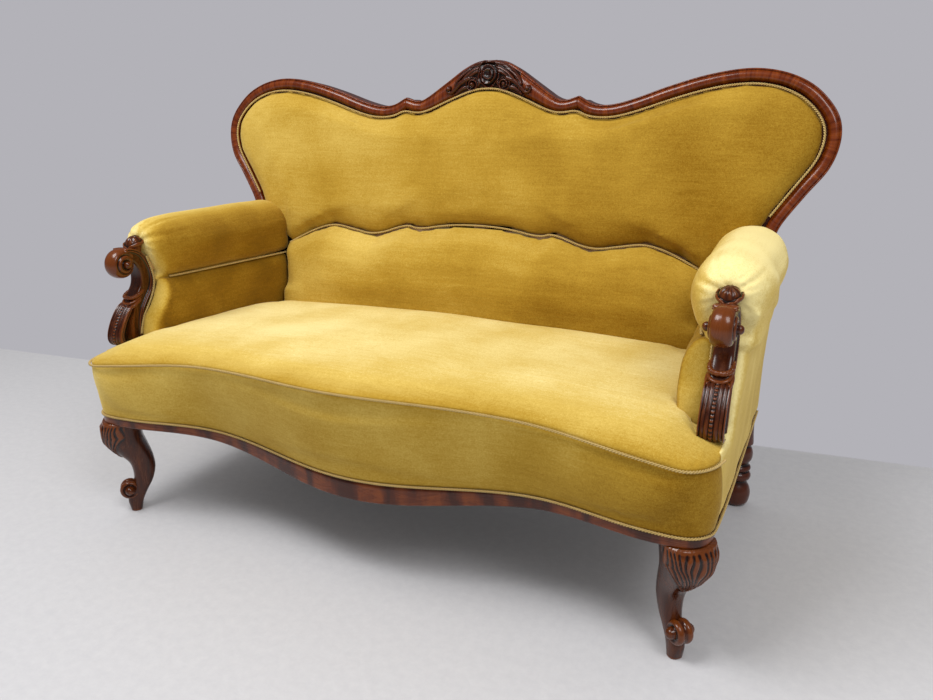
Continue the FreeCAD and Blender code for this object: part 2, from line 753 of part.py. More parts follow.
def make_seat_pads(arm_cut, support_cut):
    """The seat pad with its two front corners, and the border under its seam."""
    border = loft([border_section(*station) for station in whole_front()])
    feature("seat_front_border", border)
    half = size("corner_place")
    sections = [seat_section(half * (2 * step / SEAT_STEPS - 1)) for step in range(SEAT_STEPS + 1)]
    pad = loft(sections)
    stations = half_front()[FRONT_STEPS:]
    level = seam_level(half) + gap
    rear = -support_rear_at(level)
    inner = size("support_spread") - size("support_thick") / 2 - 1
    for side in (1, -1):
        rings = []
        for distance, rise in CORNER_RINGS:
            height = level + rise
            ring = []
            for place, outward, overhang in stations:
                spot = stood_out(place, outward, overhang).sub(outward * distance)
                ring.append(vec(side * spot.x, spot.y, height))
            ring.append(vec(side * inner, -corner_back, height))
            ring.append(vec(side * inner, rear, height))
            ring.append(vec(side * half, rear, height))
            rings.append(ring)
        pad = pad.fuse(loft(rings))
        low = size("spring_top") + 2 * gap + size("cloth_thick")
        block = box((half, -corner_back, low), (inner, rear, level)) if side > 0 else \
            box((-inner, -corner_back, low), (-half, rear, level))
        pad = pad.fuse(block)
    pad = pad.cut(border).cut(arm_cut).cut(mirrored(arm_cut)).cut(support_cut).cut(mirrored(support_cut))
    feature("seat_pad", pad.removeSplitter())


# Arm supports

# The rear edge of a support, drawn as distance forward of the origin and height
SUPPORT_REAR = [
    (190.0, 672.0),
    (184.0, 640.0),
    (168.0, 597.0),
    (168.0, 563.0),
    (189.0, 525.0),
    (219.0, 487.0),
    (228.0, 450.0),
]


DRUM_FOOT = 427.0


def support_rear_at(height):
    """How far forward the rear edge of a support lies at a height."""
    for (near, high), (far, low) in zip(SUPPORT_REAR, SUPPORT_REAR[1:]):
        if low <= height <= high:
            share = (height - low) / (high - low)
            return far + (near - far) * share
    return SUPPORT_REAR[-1][0]


def support_outline():
    """Side view of a support: scroll, neck, collar, drum and the tenon down to the seat rail."""
    eye_y = -size("scroll_front")
    eye_z = size("scroll_height")
    radius = size("scroll_radius")
    points = [(-190.0, 672.0), (-222.0, eye_z + radius + 3)]
    for degrees in (95, 135, 180, 225, 265):
        angle = math.radians(degrees)
        points.append((eye_y + radius * math.cos(angle), eye_z + radius * math.sin(angle)))
    points += [
        (-226.0, 598.0),
        (-206.0, 585.0),
        (-206.0, 560.0),
        (-228.0, 546.0),
        (-248.0, 535.0),
        (-250.0, 518.0),
        (-276.0, 490.0),
        (-296.0, 462.0),
        (-294.0, 436.0),
        (-262.0, DRUM_FOOT),
        (-250.0, DRUM_FOOT),
        (-250.0, rail_top + gap / 3),
        (-SUPPORT_REAR[-1][0], rail_top + gap / 3),
    ]
    points += [(-forward, height) for forward, height in reversed(SUPPORT_REAR[1:])]
    return points


CAP_HALF_WIDTH = 23.5
CAP_HALF_LENGTH = 32.0
CAP_RISE = 17.0
BOSS_RADIUS = 8.5


def support_block(extra):
    """The side view drawn out to the thickness of a support, with a little extra on each side."""
    half = size("support_thick") / 2 + extra
    x = size("support_spread") - half
    points = [vec(x, along, height) for along, height in support_outline()]
    return outline_face(points, smooth=False).extrude(vec(2 * half, 0, 0))


def make_arm_supports():
    """Carved supports: the block, its domed cap and a ball boss at each end of the scroll's eye."""
    block = support_block(0.0)
    cap = Part.makeSphere(1.0)
    matrix = FreeCAD.Matrix()
    matrix.scale(CAP_HALF_WIDTH, CAP_HALF_LENGTH, CAP_RISE)
    cap = cap.transformGeometry(matrix)
    cap.rotate(vec(0, 0, 0), vec(1, 0, 0), 14)
    cap.translate(vec(size("support_spread"), -196.0, 674.0))
    support = block.fuse(cap)
    for side in (1, -1):
        reach = size("support_thick") / 2 + 0.55 * BOSS_RADIUS
        spot = vec(size("support_spread") + side * reach, -size("scroll_front"), size("scroll_height") - 8)
        support = support.fuse(Part.makeSphere(BOSS_RADIUS, spot))
    pair("arm_support", support)


# Arm frames and arm upholstery

RAIL_LOW = 604.0
RAIL_DEEP = 30.0
RAIL_HALF_WIDE = 18.0
RAIL_SHIFT = 4.0
rail_near = size("roll_spread") + RAIL_SHIFT - RAIL_HALF_WIDE
POST_DEPTH = 57.0
post_inner = side_inner - size("post_inset")
post_front = frame_back - POST_DEPTH


def make_arm_frames():
    """The rail inside each roll and the tacking slat above the seat."""
    for side, sign in (("right", 1), ("left", -1)):
        front = -support_rear_at(RAIL_LOW + RAIL_DEEP) + gap / 3
        low_x = rail_near if sign > 0 else -rail_near - 2 * RAIL_HALF_WIDE
        rail = doc.addObject("Part::Box", "arm_rail_" + side)
        rail.Length = 2 * RAIL_HALF_WIDE
        rail.Width = post_front - gap / 3 - front
        rail.Height = RAIL_DEEP
        rail.Placement.Base = vec(low_x, front, RAIL_LOW)
        shaped = doc.addObject("Part::Cut", "arm_top_rail_" + side)
        tool = doc.addObject("Part::Feature", "support_seat_" + side)
        block = support_block(gap)
        tool.Shape = block if sign > 0 else mirrored(block)
        shaped.Base = rail
        shaped.Tool = tool
        keep(shaped, "arm_top_rail_" + side)
        slat = doc.addObject("Part::Box", "arm_slat_" + side)
        slat_face = size("support_spread") - size("support_thick") / 2 - 3
        slat.setExpression("Length", "Sizes.slat_thick")
        slat.setExpression("Height", "Sizes.slat_height")
        start = -SUPPORT_REAR[-1][0] + gap / 3
        slat.Width = post_front - gap / 3 - start
        x = slat_face if sign > 0 else -slat_face - size("slat_thick")
        slat.Placement.Base = vec(x, start, size("spring_top") + 4)
        keep(slat, "arm_slat_" + side)


FLARE_FRONT = 24.0
FLARE_REAR = 5.0
ROLL_WIDENING = 14.0


def arm_share(y):
    """How far along the arm a place lies: 0 at the front of the roll and 1 at its rear."""
    return (y + size("arm_front")) / (size("arm_rear") + size("arm_front"))


def arm_face(y):
    """The inner face of the lower arm pad."""
    return size("arm_inner_front") + (size("arm_inner_rear") - size("arm_inner_front")) * arm_share(y)


def arm_seam_place(y):
    """Where the seam under the roll lies across the sofa: flared out in front."""
    return arm_face(y) + FLARE_FRONT + (FLARE_REAR - FLARE_FRONT) * arm_share(y)


SWELL_DROP = 34.0
FLAT_DROP = 80.0
FOOT_DRAW = 4.0
FOOT_RISE = 30.0


def arm_inner_section(y, grown):
    """The lower arm pad cut across at a place along the arm."""
    face = arm_face(y)
    seam_place = arm_seam_place(y)
    seam = size("arm_seam_height")
    outer = size("support_spread") - size("support_thick") / 2 - 3 - gap
    low = size("spring_top") + 2 * gap + size("cloth_thick") - 2 * grown
    return [
        vec(seam_place - grown, y, seam - gap),
        vec(face + 0.25 * (seam_place - face) - grown, y, seam - SWELL_DROP),
        vec(face - grown, y, seam - FLAT_DROP),
        vec(face + FOOT_DRAW / 2 - grown, y, low + FOOT_RISE),
        vec(face + FOOT_DRAW - grown, y, low),
        vec(outer, y, low),
        vec(outer, y, seam - gap),
    ]


def front_of_support():
    """Everything in front of the rear edge of the supports, to trim the pads behind it."""
    points = [vec(560, -forward + gap, height) for forward, height in SUPPORT_REAR]
    points += [vec(560, points[-1].y, 300), vec(560, -420, 300), vec(560, -420, 672)]
    return outline_face(points, smooth=False).extrude(vec(170, 0, 0))


ROLL_ANGLES = (205, 180, 150, 115, 80, 45, 15, -12)

# Rings at the front of a roll: distance from its front, and share of its full size
ROLL_RINGS = [(0.0, 0.58), (7.0, 0.75), (25.0, 0.88), (62.0, 0.96), (120.0, 1.0)]
ROLL_TUCK = 8.0


def roll_section(y, share):
    """The arm roll cut across, drawn in towards its axis by a share."""
    centre_x = size("roll_spread")
    centre_z = size("roll_height")
    radius = size("roll_radius")
    seam = size("arm_seam_height")
    along = arm_share(y)
    points = []
    for degrees in ROLL_ANGLES:
        angle = math.radians(degrees)
        widened = along * ROLL_WIDENING * max(-math.cos(angle), 0.0)
        x = centre_x + radius * math.cos(angle) - widened
        points.append(vec(x, y, centre_z + radius * math.sin(angle)))
    points.append(vec(centre_x + 0.58 * radius, y, seam + gap))
    points.append(vec(arm_seam_place(y) + 1.0, y, seam + gap))
    low = seam + gap
    drawn = []
    for point in points:
        x = centre_x + (point.x - centre_x) * share
        z = centre_z + (point.z - centre_z) * share
        drawn.append(vec(x, y, max(z, low) if share == 1 else z))
    return drawn


def make_arm_pads():
    """Arm rolls, lower arm pads and outer side panels. Gives back the solid that trims the seat."""
    front = -size("arm_front")
    rear = size("arm_rear")
    sections = [roll_section(front + distance, share) for distance, share in ROLL_RINGS]
    sections += [roll_section(rear - ROLL_TUCK, 1.0), roll_section(rear, 0.97)]
    roll = loft(sections, smooth=True)
    half = size("support_thick") / 2 + 2
    spread = size("support_spread")
    cord_room = size("cord_width") + 3 * gap
    slot = box((spread - half - cord_room, front - 60, 500), (spread + half, -158, 698))
    rail_room = box((rail_near - gap, front - 5, RAIL_LOW - gap),
                    (rail_near + 2 * RAIL_HALF_WIDE + gap, rear + 5, RAIL_LOW + RAIL_DEEP + gap))
    pair("arm_roll", roll.cut(slot).cut(rail_room))
    inner_front = -SUPPORT_REAR[-1][0] - 4
    lower = loft([arm_inner_section(inner_front, 0.0), arm_inner_section(rear, 0.0)], smooth=True)
    pair("arm_lower_pad", lower.cut(front_of_support()))
    trim = loft([arm_inner_section(inner_front, gap), arm_inner_section(rear + 40, gap)])
    trim = trim.cut(front_of_support())
    x = size("seat_half_width")
    support_side = size("support_spread") + size("support_thick") / 2 + gap
    outline = [
        vec(x - veneer + gap, 0, leg_height + gap),
        vec(x, 0, leg_height + gap),
        vec(x + 3, 0, leg_height + 188),
        vec(x + 11, 0, size("arm_seam_height") - gap),
        vec(x + 3, 0, size("arm_seam_height") - gap),
        vec(support_side, 0, leg_height + 188),
        vec(support_side, 0, rail_top + gap),
        vec(x - veneer + gap, 0, rail_top + gap),
    ]
    start = -corner_back + gap
    panel = outline_face(outline, smooth=False).extrude(vec(0, frame_back - start, 0))
    panel = panel.translated(vec(0, start, 0))
    step = box((x - 40, start - 5, seam_level(x) + 12), (x + 40, -232, 640))
    wedge = [
        vec(x - 40, -corner_back - 5, leg_height - 5),
        vec(x - 40, -corner_back - 5, size("gimp_height") + 2 * gap),
        vec(x - 40, size("rail_return") - corner_back + gap, leg_height + RETURN_END + gap),
        vec(x - 40, size("rail_return") - corner_back + gap, leg_height - 5),
    ]
    wedge = outline_face(wedge, smooth=False).extrude(vec(80, 0, 0))
    pair("arm_outer_panel", panel.cut(step).cut(wedge))
    return trim


# The back

DRAWN_HALF_WIDTH = 854.0
DRAWN_CREST = 1112.0
DRAWN_FOOT = 640.0

# Outer edge of the right half of the back, drawn at the sizes above, from the foot up to the crest
EAR_EDGE = [
    (736, 640), (737, 692), (755, 738), (798, 803), (838, 860), (854, 915), (849, 965), (822, 1008),
    (778, 1046), (717, 1071), (645, 1079), (557, 1067), (470, 1043), (385, 1014), (330, 1001), (285, 1003),
    (246, 1022),
]
CREST_EDGE = [(246, 1022), (212, 1013), (183, 1020), (120, 1062), (76, 1092), (38, 1109), (0, 1112)]
CREST_INNER = [(246, 991), (208, 984), (175, 988), (109, 1017), (42, 1042), (0, 1046)]

# The lumbar seam from the middle to the right, drawn between arms that are 1228 apart at the back
DRAWN_ARM_SPREAD = 614.0
LUMBAR_DRAWN = [
    (0, 692), (90, 688), (178, 671), (213, 684), (312, 648), (390, 662), (456, 673), (536, 647),
    (606, 610),
]


LUMBAR_SEAM = [(x * size("arm_inner_rear") / DRAWN_ARM_SPREAD, float(z)) for x, z in LUMBAR_DRAWN]


def drawn(points):
    """Drawn points stretched to the sizes in the sheet."""
    across = size("back_half_width") / DRAWN_HALF_WIDTH
    upright = (size("crest_height") - size("stile_foot")) / (DRAWN_CREST - DRAWN_FOOT)
    return [(x * across, size("stile_foot") + (z - DRAWN_FOOT) * upright) for x, z in points]


def inset(points, distance):
    """An open line moved sideways to its left by a distance, measured along each point's bisector."""
    moved = []
    for index, (x, z) in enumerate(points):
        before = points[max(index - 1, 0)]
        after = points[min(index + 1, len(points) - 1)]
        run = math.hypot(after[0] - before[0], after[1] - before[1])
        across = (after[1] - before[1]) / run
        upward = (after[0] - before[0]) / run
        moved.append((x - across * distance, z + upward * distance))
    return moved


def closed_inset(points, distance):
    """A closed outline moved inwards by a distance, measured along each point's bisector."""
    return inset([points[-1]] + points + [points[0]], distance)[1:-1]


lean = math.radians(size("back_lean"))
rear_lean = math.radians(size("rear_lean"))


def front_plane(height, depth=0.0):
    """How far back the leaning front of the back lies at a height, and further in by a depth."""
    return size("crest_front") - math.tan(lean) * (size("crest_height") - height) + depth / math.cos(lean)


def prism(points, near=150.0, far=520.0):
    """An outline seen from the front, drawn out front to back."""
    face = outline_face([vec(x, near, z) for x, z in points], smooth=True)
    return face.extrude(vec(0, far - near, 0))


def leaning_slab(near, far):
    """The space between two planes that lean with the back, at two depths from its front."""
    slab = Part.makeBox(2400, far - near, 1800, vec(-1200, near, -1300))
    slab.rotate(vec(0, 0, 0), vec(1, 0, 0), -size("back_lean"))
    slab.translate(vec(0, size("crest_front"), size("crest_height")))
    return slab


def before_rear(depth=0.0):
    """The space in front of the plane that the rear of the back lies in."""
    space = Part.makeBox(2400, 900, 1800, vec(-1200, -900, -500))
    space.rotate(vec(0, 0, 0), vec(1, 0, 0), -size("rear_lean"))
    space.translate(vec(0, frame_back - depth, rail_top))
    return space


def mirror_line(points):
    return [(-x, z) for x, z in points]


def crest_ring(inner):
    """The outline of the crest piece above an inner line that runs from right to left."""
    outer = drawn(CREST_EDGE)
    left = mirror_line(outer[:-1])
    return outer + list(reversed(left)) + inner


ear_outer = drawn(EAR_EDGE)


def make_back_frame():
    """The polished moulding in three lengths, and the frame that it is glued to."""
    moulding = leaning_slab(0.0, size("moulding_thick"))
    carcase = leaning_slab(size("moulding_thick"), 300.0).common(before_rear())
    above_foot = box((-1200, -200, size("stile_foot")), (1200, 900, 1400))
    inner_crest = drawn(CREST_INNER)
    crest_line = mirror_line(inner_crest[:-1]) + list(reversed(inner_crest))
    ear_inner = inset(ear_outer, size("moulding_width"))
    ear_inner[-1] = inner_crest[0]
    ear = prism(ear_outer + list(reversed(ear_inner)))
    moulding_foot = box((-1200, -200, size("arm_seam_height") + 105), (1200, 900, 1400))
    pair("back_moulding", ear.common(moulding).common(moulding_foot))
    crest = prism(crest_ring(crest_line))
    feature("back_moulding_crest", crest.common(moulding))
    frame_inner = inset(ear_outer, size("frame_width"))
    frame_inner[0] = (frame_inner[0][0], size("stile_foot"))
    frame_inner[-1] = (ear_outer[-1][0], frame_inner[-1][1])
    edge = inset(ear_outer, 2.0)
    edge[-1] = (ear_outer[-1][0], edge[-1][1])
    frame = prism(edge + list(reversed(frame_inner))).common(carcase).common(above_foot)
    pair("back_frame", frame)
    low = frame_inner[-1][1]
    outer = inset(drawn(CREST_EDGE), 2.0)
    outer[0] = edge[-1]
    outer[-1] = (0.0, outer[-1][1])
    beam = outer + list(reversed(mirror_line(outer[:-1])))
    end = outer[0][0]
    beam += [(-end, low), (-0.5 * end, low - 4), (0.5 * end, low - 4), (end, low)]
    feature("back_frame_crest", prism(beam).common(carcase))
    return ear_inner, crest_line


# Places across the back, as shares of the half width between the posts
MUNTIN_SHARES = (-0.6811594202898551, -0.34057971014492755, 0.0, 0.34057971014492755, 0.6811594202898551)
BACK_STRIP_SHARES = (-0.8521739130434782, -0.5101449275362319, -0.16956521739130434,
                     0.16956521739130434, 0.5101449275362319, 0.8521739130434782)
SLAT_RISE = 4.0
CROSS_RAIL_REACH = 30.0


def make_back_posts():
    """The two posts that carry the ears, and the rail between them behind the lumbar pad."""
    rear = frame_back + math.tan(rear_lean) * (size("stile_foot") - rail_top)
    for side, sign in (("right", 1), ("left", -1)):
        near = sign * post_inner
        outer = drawn(EAR_EDGE)[0][0] - 2
        section = [
            vec(near, post_front, rail_top + gap / 3),
            vec(near, frame_back, rail_top + gap / 3),
            vec(near, rear, size("stile_foot") - gap / 3),
            vec(near, post_front, size("stile_foot") - gap / 3),
        ]
        width = sign * (min(outer, side_face) - post_inner)
        feature("back_post_" + side, outline_face(section, smooth=False).extrude(vec(width, 0, 0)))
    reach = "(Sizes.seat_half_width - Sizes.veneer_thick - Sizes.side_rail_thick - Sizes.post_inset" \
            " - Sizes.fit_gap / 3)"
    corners = [
        ("-" + reach, "0 mm"),
        (reach, "0 mm"),
        (reach, "Sizes.slat_height"),
        ("-" + reach, "Sizes.slat_height"),
    ]
    base = ("0 mm", "Sizes.frame_back - %g + Sizes.slat_thick" % POST_DEPTH, "Sizes.spring_top + %g" % SLAT_RISE)
    body = padded_body("back_bottom_rail", "XZ_Plane", corners, "Sizes.slat_thick", base)
    keep(body, "back_bottom_rail")


def make_back_slats():
    """The cross rail and the muntins between the lengths of the back frame."""
    thick = size("moulding_thick")
    slab = leaning_slab(thick, thick + size("slat_thick"))
    frames = [item.Shape for item in sub_parts if item.Label.startswith("back_frame")]
    high = size("stile_foot") + size("slat_height")
    reach = post_inner + CROSS_RAIL_REACH
    cross = box((-reach, 150, size("stile_foot")), (reach, 520, high)).common(slab)
    for frame in frames:
        cross = cross.cut(frame)
    feature("back_cross_rail", cross)
    muntins = []
    half = size("muntin_width") / 2
    for share in MUNTIN_SHARES:
        x = share * post_inner
        slat = box((x - half, 150, high + gap / 3), (x + half, 520, size("crest_height"))).common(slab)
        for frame in frames:
            slat = slat.cut(frame)
        lowest = min(slat.Solids, key=lambda solid: solid.BoundBox.ZMin)
        muntins.append(lowest)
    feature("back_muntins", Part.makeCompound(muntins))


# The strips of the back end inside the edge of its frame
EAR_STRIP_INSET = 44.0
CREST_STRIP_INSET = 84.0


def make_back_webbing():
    """Jute strips behind the back pad, and shorter ones behind the lumbar pad."""
    thick = size("moulding_thick")
    low = size("spring_top") + SLAT_RISE
    slat_top = low + size("slat_height")
    foot = size("stile_foot") - SLAT_RISE
    cloth = size("cloth_thick")
    strip = size("strip_width")
    web_slab = leaning_slab(thick - cloth - gap / 3, thick - gap / 3)
    half = inset(drawn(EAR_EDGE), EAR_STRIP_INSET)[1:-1]
    crest = inset(drawn(CREST_EDGE), CREST_STRIP_INSET)[1:-1]
    right = half + crest
    start = (post_inner + 6, size("stile_foot") + 8)
    area = [start] + right + list(reversed(mirror_line(right))) + [(-start[0], start[1])]
    space = prism(area).common(web_slab)
    strips = []
    near = post_front - cloth - gap / 3
    for x in [share * post_inner for share in BACK_STRIP_SHARES]:
        edge = x - strip / 2
        strips += box((edge, 100, 500), (edge + strip, 600, 1300)).common(space).Solids
        section = [
            vec(edge, near, low),
            vec(edge, near + cloth, low),
            vec(edge, near + cloth, slat_top),
            vec(edge, front_plane(foot, thick - gap), foot),
            vec(edge, front_plane(foot, thick - cloth - gap), foot),
            vec(edge, near, slat_top),
        ]
        strips.append(outline_face(section, smooth=False).extrude(vec(strip, 0, 0)))
    feature("back_webbing", Part.makeCompound(strips))


def lumbar_line(raised):
    """The lumbar seam from right to left, raised by a little for the piece above it."""
    right = [(x, z + raised) for x, z in LUMBAR_SEAM]
    return list(reversed(right)) + mirror_line(right[1:])


def drawn_in(points, centre, distance):
    """A closed outline pulled towards its centre, each point by the same distance."""
    moved = []
    for x, z in points:
        run = math.hypot(x - centre[0], z - centre[1])
        share = 1 - distance / run
        moved.append((centre[0] + (x - centre[0]) * share, centre[1] + (z - centre[1]) * share))
    return moved


# Rings of the back pad: inset from its edge, further draw to the middle, and depth below the
# front of the back. A negative depth is a share of the crown.
PAD_RINGS = [(0.0, 0.0, 99.0), (1.0, 0.0, 6.0), (6.5, 0.0, 1.0), (30.0, 0.0, -0.5), (30.0, 90.0, -1.0)]


def make_back_pads(ear_inner, crest_line):
    """The crowned back pad inside the moulding and the lumbar pad under its scalloped seam."""
    foot_x = post_inner + 4
    inner = [point for point in inset(ear_inner, 1.0) if point[1] > size("stile_foot") + 20][:-1]
    crest = [(x, z - 1.0) for x, z in crest_line]
    right = [(foot_x - 40, size("stile_foot") + 6), (ear_inner[0][0] - 1.0, size("stile_foot") + 16)] + inner
    outline = right + list(reversed(crest)) + list(reversed(mirror_line(right)))
    outline += list(reversed(lumbar_line(gap)))
    centre = (0.0, 0.5 * (size("stile_foot") + size("crest_height")))
    crown = size("pad_crown")
    back = size("moulding_thick") - size("cloth_thick") - 3 * gap
    rings = []
    for distance, draw, depth in PAD_RINGS:
        ring = []
        for x, z in drawn_in(closed_inset(outline, distance), centre, draw):
            ring.append(vec(x, front_plane(z, depth * crown if depth < 0 else min(depth, back)), z))
        rings.append(ring)
    pad = loft(rings)
    for side in (1, -1):
        low_x = side * (size("arm_inner_rear") - 10) - (0 if side > 0 else 300)
        roll_room = box((low_x, 100, size("stile_foot") - 80),
                        (low_x + 300, size("arm_rear") + gap, size("roll_height") + size("roll_radius") + 2))
        pad = pad.cut(roll_room)
    feature("back_pad", pad)
    sections = []
    places = sorted(set([x for x, z in LUMBAR_SEAM] + [-x for x, z in LUMBAR_SEAM]))
    heights = dict(LUMBAR_SEAM)
    low = size("spring_top") + 2 * gap + size("cloth_thick")
    rear_low = post_front - size("cloth_thick") - 2 * gap
    for x in places:
        seam = heights[abs(x)] - gap
        seam_y = front_plane(seam, size("lumbar_tuck"))
        share = lumbar_share(x)
        foot = size("seat_rear") + gap
        bulge = foot + 24 - (foot + 24 - size("lumbar_front")) * share
        rear_high = front_plane(size("stile_foot"), size("moulding_thick") - size("cloth_thick") - 3 * gap)
        sections.append([
            vec(x, foot, low),
            vec(x, foot, size("seat_crown")),
            vec(x, bulge, low + 0.46 * (seam - low)),
            vec(x, bulge + 8, low + 0.68 * (seam - low)),
            vec(x, bulge + 0.4 * (seam_y - bulge), low + 0.88 * (seam - low)),
            vec(x, seam_y, seam),
            vec(x, rear_high, seam),
            vec(x, rear_high, size("stile_foot") - 30),
            vec(x, rear_low, low + 40),
            vec(x, rear_low, low),
        ])
    feature("lumbar_pad", loft(sections))


def make_outside_back():
    """The lined panel that closes the back from behind."""
    edge = [point for point in inset(ear_outer, 7.0)]
    crest = inset(drawn(CREST_EDGE), 7.0)
    right = edge[:-1] + crest[1:-1]
    top = crest[-1]
    foot = (side_face - 4, leg_height + 4)
    outline = [foot, (side_face - 4, size("stile_foot") - 6)] + right[1:] + [(0.0, top[1])]
    outline += list(reversed(mirror_line(outline[:-1])))
    panel = prism(outline, 300.0, 560.0)
    thick = size("lining_thick")
    space = before_rear(-thick - gap / 3).cut(before_rear(-gap / 3))
    upper = panel.common(space).common(box((-1200, 200, rail_top), (1200, 700, 1400)))
    low_space = box((-1200, frame_back + gap / 3, 0), (1200, frame_back + gap / 3 + thick, rail_top))
    lower = panel.common(low_space)
    feature("outside_back_panel", upper.fuse(lower).removeSplitter())


# Cords

def make_cords():
    """Twisted cords, each along the seam that it covers."""
    radius = size("cord_width") / 2
    clear = radius + 3 * gap
    seat = []
    rail = []
    for place, outward, overhang in whole_front():
        spot = stood_out(place, outward, overhang).add(outward * clear)
        seat.append(vec(spot.x, spot.y, seam_level(place.x)))
        spot = place.add(outward * clear)
        rail.append(vec(spot.x, spot.y, dipped(place.x, size("gimp_height"), size("gimp_sag"))))
    feature("seat_seam_cord", cord("seat_seam_cord", seat))
    side_x = size("seat_half_width") + clear
    rear_left = [vec(-side_x, frame_back - 10, leg_height + 5), vec(-side_x, 80, leg_height + 5),
                 vec(-side_x, size("rail_return") - corner_back, leg_height + 6)]
    rear_right = [vec(-point.x, point.y, point.z) for point in reversed(rear_left)]
    feature("rail_cord", cord("rail_cord", rear_left + rail + rear_right))


def make_back_cords(ear_inner, crest_line):
    """The cord inside the moulding and the one on the lumbar seam."""
    radius = size("cord_width") / 2
    depth = -radius + gap
    inner = [point for point in inset(ear_inner, 3.2) if point[1] > size("arm_seam_height") + 165][:-1]
    crest = [(x, z - 3.2) for x, z in crest_line]
    line = inner + list(reversed(crest)) + list(reversed(mirror_line(inner)))
    feature("back_frame_cord", cord("back_frame_cord", [vec(x, front_plane(z, depth), z) for x, z in line]))
    points = []
    for x, z in lumbar_line(0.9 * radius):
        points.append(vec(x, front_plane(z) - 0.5 * radius, z))
    feature("lumbar_seam_cord", cord("lumbar_seam_cord", points))


# The two pads round away from the seam, so the cord sits a little inside their edge
ARM_CORD_SEAT = 1.5


def make_arm_cords():
    """The cord on the seam under each roll and the one beside each support."""
    radius = size("cord_width") / 2
    clear = radius + 2 * gap
    start = -support_rear_at(size("arm_seam_height")) + 8
    end = size("arm_rear")
    points = []
    for step in range(4):
        y = start + (end - start) * step / 3
        points.append(vec(arm_seam_place(y) + ARM_CORD_SEAT, y, size("arm_seam_height") + (step + 1) % 2))
    pair("arm_seam_cord", cord("arm_seam_cord", points))
    x = size("support_spread") - size("support_thick") / 2 - clear
    route = []
    for forward, height in SUPPORT_REAR[1:]:
        route.append(vec(x, -forward - clear, height))
    pair("arm_front_cord", cord("arm_front_cord", route))


def check_and_write():
    """Stop at any failed object or unsound shape, then write one file for each sub-part."""
    for item in doc.Objects:
        for state in item.State:
            if state in ("Invalid", "Error"):
                raise RuntimeError("failed object: " + item.Label)
    for item in sub_parts:
        if item.Shape.isNull() or not item.Shape.isValid() or not item.Shape.Solids:
            raise RuntimeError("unsound shape: " + item.Label)
    os.makedirs("parts", exist_ok=True)
    for item in sub_parts:
        item.Shape.exportStep(os.path.join("parts", item.Label + ".step"))


make_front_rail()
make_seat_rails()
make_front_legs()
make_rear_legs()
make_dowels()
make_seat_webbing()
make_springs()
make_seat_cloths()
make_arm_supports()
make_arm_frames()
seat_trim = make_arm_pads()
make_seat_pads(seat_trim, support_block(gap))
inner_ear, inner_crest = make_back_frame()
make_back_posts()
make_back_slats()
make_back_webbing()
make_back_pads(inner_ear, inner_crest)
make_outside_back()
make_cords()
make_back_cords(inner_ear, inner_crest)
make_arm_cords()
doc.recompute()
check_and_write()
for name, (length, ratio) in cord_lengths.items():
    print("%s: %.0f mm long, volume ratio %.4f" % (name, length, ratio))
print("sub-parts written:", len(sub_parts))
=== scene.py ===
# %% [markdown]
# # A cabriole sofa
# A show-wood settee of the middle of the nineteenth century: a polished mahogany frame with carved
# details, a sprung seat and stuffed pads under old-gold mohair velvet, and twisted cord on every seam.
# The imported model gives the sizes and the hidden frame. Each visible piece is then made again around
# it, finer than a solid can be.

# %% The fixed frame
import math

import bmesh
import bpy
import numpy as np
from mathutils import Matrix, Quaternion, Vector


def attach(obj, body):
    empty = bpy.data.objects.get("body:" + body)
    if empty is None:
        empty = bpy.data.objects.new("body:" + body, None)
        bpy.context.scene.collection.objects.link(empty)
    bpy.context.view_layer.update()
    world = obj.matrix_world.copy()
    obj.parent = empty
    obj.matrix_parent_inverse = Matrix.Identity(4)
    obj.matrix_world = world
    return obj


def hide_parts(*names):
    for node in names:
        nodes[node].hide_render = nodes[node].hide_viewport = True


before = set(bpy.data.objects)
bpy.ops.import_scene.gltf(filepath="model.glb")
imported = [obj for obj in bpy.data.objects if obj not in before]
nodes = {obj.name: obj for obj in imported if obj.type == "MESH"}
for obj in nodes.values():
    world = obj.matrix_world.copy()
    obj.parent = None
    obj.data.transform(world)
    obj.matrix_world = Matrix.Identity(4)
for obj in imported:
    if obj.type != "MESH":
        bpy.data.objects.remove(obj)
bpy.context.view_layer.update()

MM = 0.001
RENDER_LEVELS = 1

# %% [markdown]
# ## Meshes from grids of points
# A turned leg, a moulding and a tight cloth are all surfaces with two directions: round and along, or
# across and up. One way to make such a piece is to push a subdivided box about by hand. Here each is
# a formula of two parameters instead, worked out for a whole grid at once, because a formula can be
# read, changed and run again.

# %% From a grid of points to a mesh


def walked(points, axis):
    """Mean distance walked along one direction of a grid, in millimetres."""
    steps = np.linalg.norm(np.diff(points, axis=axis), axis=2).mean(axis=1 - axis)
    return np.concatenate([[0.0], np.cumsum(steps)])


